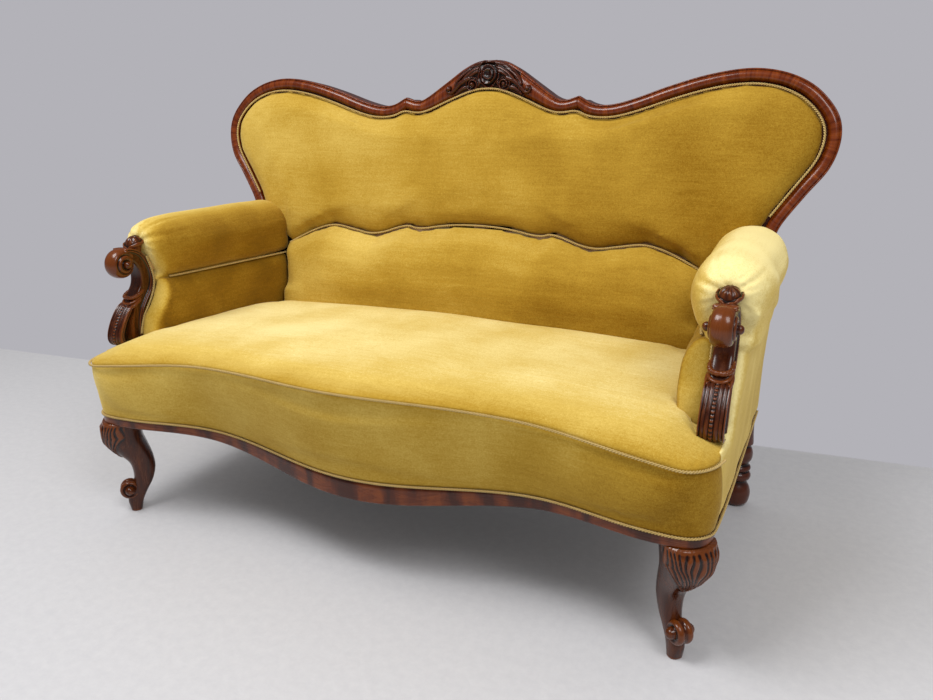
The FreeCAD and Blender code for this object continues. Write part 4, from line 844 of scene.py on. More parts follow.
def blown(name, mesh, cap, hold=None):
    """The mesh run as cloth with air inside. Each point's move is cut back to the cap."""
    rest = points_of(mesh)
    item = placed(name, mesh)
    cloth = item.modifiers.new("cloth", "CLOTH")
    for key, value in CLOTH.items():
        setattr(cloth.settings, key, value)
    cloth.settings.effector_weights.gravity = 0.0
    cloth.collision_settings.use_collision = False
    cloth.point_cache.frame_start = 1
    cloth.point_cache.frame_end = FRAMES
    for number in range(1, FRAMES + 1):
        bpy.context.scene.frame_set(number)
    result = evaluated(item)
    moved = points_of(result) - rest
    far = np.linalg.norm(moved, axis=1, keepdims=True)
    moved *= np.minimum(1.0, cap / np.maximum(far, 1e-6))
    if hold is not None:
        moved *= hold(rest)[:, None]
    bpy.data.meshes.remove(result)
    bpy.data.objects.remove(item)
    bpy.context.scene.frame_set(1)
    put_points(mesh, rest + moved)
    print(name, "was blown up by", round(float(far.mean()), 2), "mm on average, cap", cap)


# %% [markdown]
# ## From a mesh to a pad
# Every pad goes through the same steps, and only two formulas differ: one for its shape after the
# stuffing has settled, and one for its nap together with its painted light and shade.

# %% Finish a pad


def stuffed(name, mesh, replaced, material, nap_and_painted_light, shape, cap, plump=0.0, form=None, hold=None):
    """A pad: rounded, plumped by a distance, blown up, shaped by formula, given pile tone, painted light and
    shade.

    A pad that is held at its seams starts from a drawn grid, which needs no rounding.
    """
    mesh.name = name
    smoothed(mesh, 3 if hold is None else 0)
    put_points(mesh, points_of(mesh) + normals_of(mesh) * plump)
    if form is not None:
        put_points(mesh, form(points_of(mesh)))
    blown(name, mesh, cap, hold)
    smoothed(mesh, 1 if hold is None else 0)
    mesh.polygons.foreach_set("use_smooth", np.ones(len(mesh.polygons), bool))
    mesh.update()
    put_points(mesh, shape(points_of(mesh), normals_of(mesh)))
    # Pile tone and painted light and shade, one value for each point.
    put_values(mesh, "nap_and_painted_light", unit(nap_and_painted_light(points_of(mesh), normals_of(mesh))))
    made = finish_piece(name, mesh, material, replaced)
    finer = made.modifiers.new("finer", "SUBSURF")
    finer.levels = RENDER_LEVELS
    finer.render_levels = RENDER_LEVELS
    print(name, len(mesh.polygons), "faces before subdivision")


# %% [markdown]
# ## Uneven stuffing
# Old hair stuffing settles. A sum of a few long sine waves in turned directions gives soft hollows a
# hand wide, the same on each run. Gathers along a seam are shorter waves that die away from it.

# %% Soft lumps and gathers
rng = np.random.default_rng(1855)


def soft_lumps(points, length, amount, count=9):
    """Sum of sine waves of about one length in seeded directions, in millimetres."""
    directions = rng.normal(size=(count, 3))
    directions /= np.linalg.norm(directions, axis=1, keepdims=True)
    lengths = length * rng.uniform(0.7, 1.5, count)
    phases = rng.uniform(0, 2 * np.pi, count)
    waves = np.sin(points @ directions.T * (2 * np.pi / lengths[None, :]) + phases)
    return amount * waves.sum(axis=1) / math.sqrt(count)


def puckers(along, behind, spacing, reach, depth):
    """Small gathers behind a seam.

    along is the distance along the seam and behind the distance from it. Two sines of nearly one
    spacing beat against each other, so that the gathers come and go.
    """
    gather = np.sin(2 * np.pi * along / spacing) + np.sin(2 * np.pi * along / (spacing * 1.37) + 1.3)
    return -depth * 0.5 * (1 + 0.6 * gather) * np.exp(-np.abs(behind) / reach)


# %% [markdown]
# ## The seat
# The seat is two pads sewn together: a top, crowned over the springs, and a border that hangs from the
# seam to the polished rail and leans outwards as it rises. Both are drawn in stations along the seam,
# from one end round the serpentine to the other, so their edges meet in the groove where the cord
# lies. Behind the arm supports the top stops at the arm pads, and its two front corners run on.

# %% Stations along the seat seam
STATION = 6.0


def seam_stations():
    """Rail line, outward direction, seam place and walked distance at even steps from end to end."""
    x = np.linspace(0.0, CORNER_X, 1200)
    turn = np.linspace(0.0, np.pi / 2, 200)[1:]
    rail = np.vstack([np.column_stack([x, -front_line(x)]),
                      np.column_stack([CORNER_X + CORNER_RADIUS * np.sin(turn),
                                       CORNER_Y - CORNER_RADIUS * np.cos(turn)])])
    stand = np.concatenate([seam_stand(x), wave(turn, 0.0, np.pi / 2, 20.0, 1.0)])
    seam = rail - np.stack([0.0 * stand, stand], axis=1)
    walk = np.concatenate([[0.0], np.cumsum(np.linalg.norm(np.diff(seam, axis=0), axis=1))])
    at = np.linspace(0.0, walk[-1], int(walk[-1] / STATION) + 1)

    def taken(values):
        return np.stack([np.interp(at, walk, values[:, k]) for k in range(2)], axis=1)

    return from_middle(taken(rail)), from_middle(taken(seam)), np.concatenate([-at[:0:-1], at])


rail_at, seam_at, seam_walk = seam_stations()
seam_out = np.stack([np.gradient(seam_at[:, 1]), -np.gradient(seam_at[:, 0])], axis=1)
seam_out /= np.linalg.norm(seam_out, axis=1, keepdims=True)
seam_out[0], seam_out[-1] = (-1.0, 0.0), (1.0, 0.0)
print("seat seam:", len(seam_walk), "stations over", round(float(seam_walk[-1] - seam_walk[0])), "mm")

# %% [markdown]
# ## The top of the seat
# The top is springs, hair and velvet in one crown. It could be a box with a subdivision, but its front
# edge has to meet the border stitch by stitch. So its height is a formula of the distance from the seam:
# it rises steeply at the stitches and flattens over the springs.

# %% The seat top
SEAT_REAR = 229.0
SEAT_LOW = 402.8
SITTERS = (-330.0, 330.0)
RISE = flowing([(0, 0), (1.2, 0.14), (4.5, 0.30), (12, 0.46), (28, 0.64), (56, 0.80), (96, 0.93), (150, 1.0),
                (210, 1.02), (900, 1.02)], count=900)


def seat_crown(x):
    """Full height of the seat across the sofa: a low arch that drops at the front corners."""
    return SEAT_CROWN - 22.0 * (x / 650.0) ** 2 - wave(np.abs(x), 630.0, 712.0, 0.0, 16.0)


def seat_rear_line():
    """Where each station's line ends: at the back, or along the arm pad and across behind the support."""
    side = np.array([(600, SEAT_REAR), (622, SEAT_REAR), (646, -190), (652, -226), (690, -234),
                     (737, -238)], float)
    walk = np.abs(seam_walk)
    start = np.interp(600.0, np.abs(seam_at[len(walk) // 2:, 0]), walk[len(walk) // 2:])
    share = unit((walk - start) / (walk.max() - start))
    steps = np.concatenate([[0.0], np.cumsum(np.linalg.norm(np.diff(side, axis=0), axis=1))])
    at = share * steps[-1]
    x = np.where(share > 0, np.interp(at, steps, side[:, 0]), np.abs(seam_at[:, 0]))
    y = np.where(share > 0, np.interp(at, steps, side[:, 1]), SEAT_REAR)
    return np.stack([np.sign(seam_at[:, 0]) * x, y], axis=1)


def seat_surface(plan, away):
    """Height of the top: seam + (crown - seam) rise(distance from the seam), falling at the back."""
    x, y = plan[..., 0], plan[..., 1]
    rise = np.interp(away, RISE[:, 0], RISE[:, 1])
    seam = seam_level(x) + 1.0
    height = seam + (seat_crown(x) - seam) * rise
    back = unit((y - SEAT_REAR + 130.0) / 130.0)
    beside = unit((np.abs(x) - arm_face(y) + 16.0) / 18.0) * (y > -200.0)
    return height - 14.0 * back ** 2 - 5.0 * beside ** 2


def seat_top_mesh():
    """Stations from the seam back over the crown, and down again to the flat underside."""
    rear = seat_rear_line()
    length = np.linalg.norm(rear - seam_at, axis=1)
    fine = np.array([0.0, 1.2, 3.5, 7.5, 13.0]) * np.minimum(length / 60.0, 1.0)[:, None]
    share = np.linspace(0.0, 1.0, 68)[1:] ** 1.05
    away = np.hstack([fine, fine[:, -1:] + (length[:, None] - fine[:, -1:]) * share])
    plan = seam_at[:, None] + (rear - seam_at)[:, None] * (away / length[:, None])[..., None]
    top = np.concatenate([plan, seat_surface(plan, away)[..., None]], axis=2)
    low, away = plan[:, ::-1], away[:, ::-1]
    tuck = np.maximum(SEAT_LOW, seam_level(low[..., 0]) - 6.0 - 0.4 * away)
    bottom = np.concatenate([low, np.where(away < 45.0, tuck, SEAT_LOW)[..., None]], axis=2)[:, ::3]
    return mesh_of("seat_top", [skin(np.concatenate([top, bottom], axis=1))])


def behind_seam(points):
    """Distance behind the front seam, measured front to back."""
    x, y = points[:, 0], points[:, 1]
    order = np.argsort(seam_at[:, 0])
    return y - np.interp(x, seam_at[order, 0], seam_at[order, 1])


def seat_hold(points):
    """Free on top, held at the seam and below."""
    return unit(behind_seam(points) / 50.0) * (points[:, 2] > seam_level(points[:, 0]) + 2.0)


def seat_shape(points, normals):
    """Puckers behind the front seam, long soft hollows, and two dips where people sit."""
    x, y = points[:, 0], points[:, 1]
    behind = np.maximum(behind_seam(points), 0.0)
    top = unit(normals[:, 2] * 1.5) * unit(behind / 3.0)
    lift = puckers(x, behind, 12.5, 20.0, 2.6) * top
    lift += soft_lumps(points, 250.0, 1.5) * top * unit(behind / 60.0)
    for sitter in SITTERS:
        lift -= 4.0 * bump(x, sitter, 210.0) * bump(y, 20.0, 150.0) * top
    rear = np.exp(-np.maximum(214.0 - y, 0.0) / 18.0)
    lift += puckers(x, 0.0 * x, 31.0, 10.0, 1.6) * rear * top
    return points + normals * lift[:, None]


def seat_nap_and_painted_light(points, normals):
    """Pale, with painted shade: darker beside the seam, and a little darker towards the back and the right.
    """
    # Painted shade: darker towards the back, beside the front seam and to the right.
    behind = unit(behind_seam(points) / 520.0)
    edge = np.exp(-np.maximum(behind_seam(points), 0) / 85.0)
    right = unit((points[:, 0] + 500.0) / 700.0)
    return 0.98 - 0.08 * behind - 0.07 * right - 0.44 * edge + soft_lumps(points, 190.0, 0.035)


mesh = seat_top_mesh()
tidy(mesh)
stuffed("seat_top", mesh, ["seat_pad"], velvet_across, seat_nap_and_painted_light, seat_shape, 6.0, hold=seat_hold)

# %% [markdown]
# ## The front border
# The border is a strip of velvet over a stuffed edge. It is drawn from the same stations as the top, so
# that no gap can open between them, and it is blown up only in its middle, since both edges are sewn.

# %% The seat border


def border_mesh():
    """Stations from the gimp up the face to the groove under the seam, and back down inside."""
    low = gimp_level(rail_at[:, 0]) - 1.5
    high = seam_level(seam_at[:, 0]) - 0.5
    share = np.linspace(0.0, 1.0, 26)
    lean = (seam_at - rail_at)[:, None] * (share ** 1.15)[None, :, None]
    tuck = 0.6 * np.exp(-share / 0.035) + 3.0 * np.exp(-(1 - share) / 0.03)
    belly = (5.0 * np.sin(np.pi * share) ** 0.8 - tuck)[None, :, None] * seam_out[:, None]
    plan = rail_at[:, None] + lean + belly
    height = low[:, None] + (high - low)[:, None] * share
    face = np.concatenate([plan, height[..., None]], axis=2)
    within = plan[:, ::-5] - 16.0 * seam_out[:, None]
    inside = np.concatenate([within, height[:, ::-5, None] - 1.0], axis=2)
    return mesh_of("seat_border", [skin(np.concatenate([face, inside], axis=1))])


def border_share(points):
    """0 at the gimp and 1 at the seam."""
    low, high = gimp_level(points[:, 0]), seam_level(points[:, 0])
    return unit((points[:, 2] - low) / (high - low))


def border_hold(points):
    """Free in the middle of the border, held at the gimp and at the seam."""
    return np.sin(np.pi * border_share(points)) ** 0.7


def border_shape(points, normals):
    """Slight upright pulls under the seam and over the gimp, and a soft belly."""
    x, y, z = points.T
    share = border_share(points)
    walk = x + np.where(np.abs(x) > CORNER_X, y, 0.0)
    outer = unit(-normals[:, 1] + np.abs(normals[:, 0]))
    lift = puckers(walk, seam_level(x) - z, 18.0, 12.0, 1.4) * outer
    lift += puckers(walk, z - gimp_level(x), 23.0, 9.0, 1.0) * outer
    lift += soft_lumps(points, 170.0, 1.1) * outer * np.sin(np.pi * share)
    return points + normals * lift[:, None]


def border_nap_and_painted_light(points, normals):
    """Painted light left of the middle and at the left corner, painted shade at the right one and in the
    groove.
    """
    share = border_share(points)
    # Painted light on the left corner and painted shade on the right one.
    turned = np.clip(points[:, 0] / 700.0, -1, 1) * unit((np.abs(points[:, 0]) - 300) / 400)
    # A painted shadow line in the groove under the seat cord.
    groove = 0.25 * np.exp(-(seam_level(points[:, 0]) - points[:, 2]) / 6.0)
    # A painted pool of light left of the middle.
    lit = 0.09 * bump(points[:, 0], -80.0, 480.0)
    return 0.46 + lit + 0.10 * share - 0.20 * turned - groove + soft_lumps(points, 150.0, 0.035)


mesh = border_mesh()
tidy(mesh)
stuffed("seat_border", mesh, ["seat_front_border"], velvet_across, border_nap_and_painted_light, border_shape, 4.0,
        hold=border_hold)

# %% [markdown]
# ## The back
# The upper pad fills the shaped frame and is pulled down into the scalloped seam. Over each cusp of
# that seam the stitch pulls a deep dimple into it. The lumbar pad below is fuller. Each cusp is written
# as its place across the sofa and the depth of its dimple.

# %% Upper back pad and lumbar pad
BACK_VOXEL = 8.0
CUSPS = [(178.0, 10.0), (536.0, 9.0), (312.0, 3.0)]
seam_line = flowing(both_sides(LUMBAR_SEAM[::-1]), 4.0)


def seam_height(x):
    """Height of the scalloped seam between the two back pads."""
    order = np.argsort(seam_line[:, 0])
    return np.interp(x, seam_line[order, 0], seam_line[order, 1])


def cusp_pull(x, up, wide):
    """A dimple that is narrow at the stitch and opens as it dies away."""
    pull = 0.0 * x
    for cusp_x, deep in CUSPS:
        across = np.abs(x) - cusp_x
        pull += deep * np.exp(-(across / (wide + 0.35 * np.maximum(up, 0))) ** 2) * np.exp(-np.abs(up) / 30.0)
    return pull


def close_up(points, gap, amount):
    """A step along z that brings the edge at a seam back to the stitches, and its ends out to the arms."""
    x = points[:, 0]
    reach = np.abs(x[np.abs(gap) < 40.0]).max()
    ends = bump(np.abs(x), reach, 26.0) * bump(gap, 0.0, 45.0)
    up = amount * bump(gap, 0.0, 13.0)
    return np.stack([16.0 * np.sign(x) * ends, 0.0 * x, up], axis=1)


def back_shape(points, normals):
    """Dimples over the cusps, puckers above the seam, and settled stuffing."""
    x = points[:, 0]
    face = unit(-normals[:, 1] * 1.4)
    above = points[:, 2] - seam_height(x)
    lift = (puckers(x, above, 24.0, 13.0, 1.6) - cusp_pull(x, above, 12.0)) * face
    lift += soft_lumps(points, 240.0, 1.6) * face
    return points + normals * lift[:, None] + close_up(points, above, -3.4)


def back_nap_and_painted_light(points, normals):
    """Painted light: paler to the left and above; painted shade just over the seam."""
    x, z = points[:, 0], points[:, 2]
    edge = unit((z - seam_height(x)) / 60.0)
    side = np.clip(x / 700.0, -1.0, 1.0)
    top = unit((z - 850.0) / 250.0)
    nap_and_painted_light = 0.42 + 0.07 * edge + 0.04 * top - 0.13 * side - 0.04 * np.abs(side)
    return nap_and_painted_light + soft_lumps(points, 210.0, 0.035)


def lumbar_shape(points, normals):
    """The same below the seam, where the dimples are wider and half as deep."""
    x = points[:, 0]
    face = unit(-normals[:, 1] * 1.4)
    below = seam_height(x) - points[:, 2]
    lift = (puckers(x, below, 22.0, 12.0, 1.6) - 0.5 * cusp_pull(x, below, 20.0)) * face
    lift += soft_lumps(points, 200.0, 1.6) * face
    return points + normals * lift[:, None] + close_up(points, below, 3.4)


def lumbar_nap_and_painted_light(points, normals):
    """Painted light: paler to the left, and where the pad faces up."""
    side = np.clip(points[:, 0] / 650.0, -1.0, 1.0)
    return 0.44 + 0.14 * unit(normals[:, 2]) - 0.13 * side + soft_lumps(points, 180.0, 0.035)


stuffed("back_upper", even_mesh([solid_copy("back_pad")], BACK_VOXEL), ["back_pad"], velvet_across,
        back_nap_and_painted_light, back_shape, 5.0, plump=1.6)
stuffed("back_lumbar", even_mesh([solid_copy("lumbar_pad")], BACK_VOXEL), ["lumbar_pad"], velvet_across,
        lumbar_nap_and_painted_light, lumbar_shape, 5.0, plump=1.6)

# %% [markdown]
# ## The arms
# Over each arm one cloth runs from the inside, over the roll and down the outside to the rail, with
# no seam on the outside. So the roll's solid, the side and the stuffing round the front are fused
# into one even mesh. In front the cloth follows the carved support's back edge and is gathered round
# its cap in radial pleats. Inside, under the roll, lies a separate lower pad, with a cord between.

# %% Arm shapes
SUPPORT_REAR = np.array([(190, 672), (184, 640), (168, 597), (168, 563), (189, 525), (219, 487), (228, 450),
                         (236, 427)], float)
ROLL_AXIS = (706.0, 666.0)
CAP_CENTRE = (SUPPORT_X, 676.0)


def support_rear(z):
    """How far forward the support's back edge lies at a height."""
    return np.interp(z, SUPPORT_REAR[::-1, 1], SUPPORT_REAR[::-1, 0])


def panel_face(y, z):
    """Outer face of an arm: 738 at the rail, 749 under the roll and on up the roll's flank."""
    flare = np.interp(z, [252.0, 440.0, 582.7, 620.0, 651.0], [738.0, 741.0, 749.5, 765.0, 777.0])
    rise = unit((z - 262.0) / 330.0)
    along = unit((y - CORNER_Y) / 703.0)
    return flare + 3.0 * np.sin(np.pi * rise) * np.sin(np.pi * along)


def side_body():
    """The outside of an arm as a closed slab that follows the support's back edge in front.

    Under the seat seam it runs forward to the border, and its lower edge follows the rail.
    """
    z = np.concatenate([np.linspace(254.0, 420.0, 30), np.linspace(423.0, 640.0, 40)])
    below = z < 421.0
    front = np.where(below, -313.0, -support_rear(z) + 1.0)
    rear = np.where(z > 584.0, 293.0, 390.0)
    y = front[:, None] + (rear - front)[:, None] * np.linspace(0.0, 1.0, 90)
    rail_top = np.interp(y, [CORNER_Y, RETURN_Y], [273.5, 253.5])
    high = np.maximum(z, 254.5)[:, None] + 0.0 * y
    high = np.where(y < RETURN_Y, np.maximum(high, rail_top), high)
    outer = panel_face(y, high)
    thick = np.where(below, 9.0, 20.0)[:, None]
    far = np.stack([outer, y, high], axis=-1)
    near = np.stack([outer - thick, y, high], axis=-1)[:, ::-1]
    return skin(np.concatenate([far, near], axis=1))


def egg(centre, reach, power=2.6, sides=40):
    """A rounded block: each coordinate is a power of a sine or cosine, times its reach."""
    a = np.linspace(-np.pi / 2, np.pi / 2, sides // 2)[:, None]
    b = (np.arange(sides) * 2 * np.pi / sides)[None]
    cos_a, cos_b, sin_a, sin_b = (powered(f(v), 2 / power) for f in (np.cos, np.sin) for v in (a, b))
    shape = np.stack([cos_a * cos_b, cos_a * sin_b, sin_a + 0.0 * b], axis=-1)
    return skin(shape * reach + np.asarray(centre, float))


STUFFING = [((709.0, -138.0, 655.0), (60.0, 46.0, 72.0), 2.6),
            ((720.0, 60.0, 620.0), (46.0, 232.0, 60.0), 8.0),
            ((690.0, 302.0, 650.0), (44.0, 36.0, 58.0), 2.6)]


def arm_meshes(side):
    """The roll's solid with the side slab and blocks of stuffing in front, under it and behind."""
    made = [solid_copy("arm_roll_" + side)]
    for part in [side_body()] + [egg(*block) for block in STUFFING]:
        mesh = mesh_of("stuffing", [part if side == "right" else mirror_patch(part)])
        tidy(mesh)
        made.append(mesh)
    return made


# %% [markdown]
# ## How an arm's velvet lies
# The cloth is gathered round the cap, so its pleats run out like rays and die away. Four or five long
# creases are deeper. The lower pad is drawn in under the roll.

# %% Shape, nap and painted light of the arms


def arm_form(points):
    """The front follows the support's back edge, and its rim is drawn in like the end of a pillow."""
    x, y, z = points.T
    high = z > 585.0
    ahead = np.clip((-150.0 - y) / 36.0, 0.0, 1.2)
    reach = support_rear(np.clip(z, 585, 672)) - 150.0
    y = np.where(high & (y < -150.0), -150.0 - ahead * reach, y)
    draw = 0.09 * unit((-118.0 - y) / 68.0) ** 2.2 * unit((z - 585.0) / 40.0)
    x = np.sign(x) * (ROLL_AXIS[0] + (np.abs(x) - ROLL_AXIS[0]) * (1.0 - draw))
    z = np.where(high, ROLL_AXIS[1] + (z - ROLL_AXIS[1]) * (1.0 - draw), z)
    y = y + 15.0 * unit((y - 230.0) / 60.0) * high
    return np.stack([x, y, z], axis=1)


CREASES = [(2.25, 0.09, 4.5), (1.95, 0.07, 3.0), (0.55, 0.09, 3.6), (2.9, 0.08, 3.0), (1.2, 0.06, 2.0)]


def roll_shape(points, normals):
    """Pleats that run out from the cap, dying away with distance, and a few long creases."""
    x, y, z = points.T
    dx, dz = np.abs(x) - CAP_CENTRE[0], z - CAP_CENTRE[1]
    angle = np.arctan2(dz, dx)
    run = np.hypot(dx, dz)
    up = unit((z - 600.0) / 40.0)
    ahead = np.exp(-np.maximum(y + 182.0, 0.0) / 26.0) * up
    fold = np.sin(17 * angle + 1.1 * np.sin(3 * angle)) + 0.5 * np.sin(29 * angle + 0.7)
    lift = 1.6 * fold * ahead * np.exp(-((run - 34.0) / 26.0) ** 2)
    for at, wide, deep in CREASES:
        lift -= deep * bump(angle, at, wide) * np.exp(-np.maximum(y + 182.0, 0.0) / 55.0) * up
    lift += soft_lumps(points, 150.0, 1.2)
    return points + normals * lift[:, None]


def roll_nap_and_painted_light(points, normals):
    """Painted shade where the roll turns inwards, painted light on top and in front, pale outside.

    The right arm's top is painted much paler, and its inward face less dark, than the left arm's.
    """
    right = points[:, 0] > 0
    outward = normals[:, 0] * np.sign(points[:, 0])
    ahead = unit(-normals[:, 1])
    # Painted shade on the faces that turn inwards, deeper on the left arm.
    dark = np.where(right, 0.30, 0.52) * unit(0.15 - outward)
    # Painted light on the tops, far stronger on the right arm.
    lean = np.where(right, 0.36, 0.02) * unit(normals[:, 2])
    low = unit((560.0 - points[:, 2]) / 300.0) * (ahead < 0.5)
    outside = unit(outward * 1.6 - 0.6)
    nap_and_painted_light = 0.78 - dark + 0.20 * ahead - 0.05 * outside + lean - 0.12 * low
    return nap_and_painted_light + soft_lumps(points, 120.0, 0.04)


def lower_shape(points, normals):
    """Puckers under the roll's seam, soft lumps inside, and a front end stuffed 6 mm further out."""
    x, y, z = points.T
    inner = unit(-normals[:, 0] * np.sign(x))
    ahead = unit(-normals[:, 1] * 1.5) * (y < 0)
    lift = puckers(y, 583.0 - z, 21.0, 11.0, 1.4) * inner + soft_lumps(points, 140.0, 1.2) * inner
    return points + normals * (lift + 6.0 * ahead)[:, None]


def lower_nap_and_painted_light(points, normals):
    """Painted shade on the inside faces, painted light in front."""
    return 0.20 + 0.45 * unit(-normals[:, 1]) + soft_lumps(points, 120.0, 0.04)


# %% [markdown]
# ## Both arms
# The two arms are run one after the other as cloth. They aren't mirrored, because no two stuffed arms
# crease alike, and their pile carries different painted light and shade.

# %% Arms
ARM_VOXEL = 7.0
for side in ("left", "right"):
    stuffed("arm_cover_" + side, even_mesh(arm_meshes(side), ARM_VOXEL),
            ["arm_roll_" + side, "arm_outer_panel_" + side], velvet_along, roll_nap_and_painted_light, roll_shape, 4.0,
            plump=0.8, form=arm_form)
    stuffed("lower_pad_" + side, even_mesh([solid_copy("arm_lower_pad_" + side)], ARM_VOXEL),
            ["arm_lower_pad_" + side], velvet_along, lower_nap_and_painted_light, lower_shape, 4.0, plump=1.6)

# %% [markdown]
# ## Twisted cords
# A cord could be a tube with a striped bump, but its edge is what the eye catches, so both plies are
# real: each is a small tube that winds round the cord's centre line. The line is a spline along the
# model's own route, a few millimetres off the seam.

# %% Two plies round a line
CORD_WIDTH = 5.6
CORD_PITCH = 11.6
CORD_STEP = CORD_PITCH / 9
PLY_SIDES = 7


def spline_route(points):
    """Points read from a NURBS spline of order 3 over the route's points."""
    curve = bpy.data.curves.new("route", "CURVE")
    curve.dimensions = "3D"
    spline = curve.splines.new("NURBS")
    spline.points.add(len(points) - 1)
    spline.points.foreach_set("co", np.hstack([points * MM, np.ones((len(points), 1))]).ravel())
    spline.order_u = 3
    spline.use_endpoint_u = True
    spline.resolution_u = 24
    item = placed("route", curve)
    line = points_of(evaluated(item))
    bpy.data.objects.remove(item)
    return line


def twisted_cord(name, node, route, reference):
    """Ply k winds round the line at the angle 2 pi s / pitch + k pi, a quarter of the width out.

    The value hollow is 1 on the cord's centre line, between the plies, where the finish paints shade, and
    falls to 0 outside.
    """
    line = evenly(spline_route(np.asarray(route, float)), spacing=CORD_STEP)
    side, up = across_line(line, reference)
    walk = np.arange(len(line)) * CORD_STEP
    plies = []
    for ply in range(2):
        turn = (2 * np.pi * walk / CORD_PITCH + ply * np.pi)[:, None]
        centre = line + CORD_WIDTH / 4 * (np.cos(turn) * side + np.sin(turn) * up)
        plies.append(round_bar(centre, side, up, CORD_WIDTH * 0.285, PLY_SIDES))
    mesh = mesh_of(name, plies)
    tidy(mesh)
    points = points_of(mesh)
    parts = np.array_split(points, max(len(points) // 4000, 1))
    gap = np.concatenate([np.linalg.norm(part[:, None] - line[None, ::3], axis=2).min(axis=1)
                          for part in parts])
    # This value marks the painted shade between the plies.
    put_values(mesh, "hollow", unit((0.62 - gap / (CORD_WIDTH / 2)) / 0.45))
    finish_piece(name, mesh, cord_finish, [node])
    print(name, "is", round(float(walk[-1])), "mm long")


def coarse_front():
    """The model's own stations from the left corner to the right corner: place, outward, overhang."""
    x = np.linspace(0.0, 650.0, 11)
    slope = (front_line(x + 1.0) - front_line(x - 1.0)) / 2.0
    slope[[0, -1]] = 0.0
    out = np.stack([-slope, -np.ones_like(x)], axis=1)
    out /= np.linalg.norm(out, axis=1, keepdims=True)
    angle = np.linspace(0.0, np.pi / 2, 5)
    turn = np.stack([np.sin(angle), -np.cos(angle)], axis=1)
    place = np.vstack([np.stack([x, -front_line(x)], axis=1), [CORNER_X, CORNER_Y] + CORNER_RADIUS * turn])
    outward = np.vstack([out, turn])
    stand = np.concatenate([seam_stand(x), wave(angle, 0.0, np.pi / 2, 20.0, 1.0)])
    return from_middle(place), from_middle(outward), np.concatenate([stand[:0:-1], stand])


CORD_X = HALF_WIDTH + 3.4
place, outward, stand = coarse_front()
ahead = np.where(outward[:, 1:] < -0.01, np.array([[0.0, -1.0]]), outward)
seam_plan = place + ahead * stand[:, None] + outward * 5.4
seat_route = np.column_stack([seam_plan, seam_level(place[:, 0])])
rail_plan = place + outward * 3.4
rail_route = np.column_stack([rail_plan, gimp_level(place[:, 0])])
right_return = np.array([[CORD_X, RETURN_Y, 258.0], [CORD_X, 80.0, 257.0], [CORD_X, 384.0, 257.0]])
left_return = right_return[::-1] * np.array([-1.0, 1.0, 1.0])
twisted_cord("seat_cord", "seat_seam_cord", seat_route, (0, 0, 1))
twisted_cord("rail_gimp", "rail_cord", np.vstack([left_return, rail_route, right_return]), (0, 0, 1))

# %% [markdown]
# ## Cords of the back and the arms
# The frame cord runs just inside the moulding from ear to ear, and the lumbar cord follows the
# scallops. A short cord hides the seam under each roll, and one more climbs beside each support.

# %% Cords of the back and the arms


def inset(points, distance):
    """A line moved to its left, measured along each point's bisector."""
    points = np.asarray(points, float)
    before = np.vstack([points[:1], points[:-1]])
    after = np.vstack([points[1:], points[-1:]])
    step = after - before
    step /= np.linalg.norm(step, axis=1, keepdims=True)
    return points + np.stack([-step[:, 1], step[:, 0]], axis=1) * distance


ear_inner = inset(EAR_EDGE, MOULDING_WIDTH)
ear_inner[-1] = CREST_INNER[0]
inner_line = inset(ear_inner, 3.2)
inner_line = inner_line[inner_line[:, 1] > 748.0][:-1]
half_line = np.vstack([inner_line, np.array(CREST_INNER, float) - [0.0, 3.2]])
frame_line = both_sides(half_line)
frame_route = np.column_stack([frame_line[:, 0], front_plane(frame_line[:, 1], -2.6), frame_line[:, 1]])
twisted_cord("back_cord", "back_frame_cord", frame_route, (0, 1, 0))
seam_points = both_sides(LUMBAR_SEAM[::-1]) + [0.0, 2.25]
lumbar_route = np.column_stack([seam_points[:, 0], front_plane(seam_points[:, 1]) - 2.6, seam_points[:, 1]])
twisted_cord("lumbar_cord", "lumbar_seam_cord", lumbar_route, (0, 1, 0))
# The arm cord's front end is tucked 3 mm outwards, behind the carved support.
ARM_SEAM, RISE_X = 583.5, 688.4
y = np.linspace(-144.0, 290.0, 16)
tucked = arm_seam_place(y) + 0.5 + 3.0 * bump(y, -146.0, 12.0)
arm_route = np.column_stack([tucked, y, np.full(16, ARM_SEAM)])
rise = SUPPORT_REAR[1:7]
rise_route = np.column_stack([np.full(6, RISE_X), -rise[:, 0] - 3.1, rise[:, 1]])
for side, sign in (("right", 1.0), ("left", -1.0)):
    flip = np.array([sign, 1.0, 1.0])
    twisted_cord("arm_cord_" + side, "arm_seam_cord_" + side, arm_route * flip, (0, 0, 1))
    twisted_cord("rise_cord_" + side, "arm_front_cord_" + side, rise_route * flip, (1, 0, 0))

# %% [markdown]
# ## The polished front rail
# The rail below the gimp is a pine or beech core faced with flame veneer: sawn from the fork of a
# trunk, with dark plumes. In section it is a flat face with its lower edge rounded over. The section
# is carried along the rail line.

# %% Front rail
VENEER = 8.0


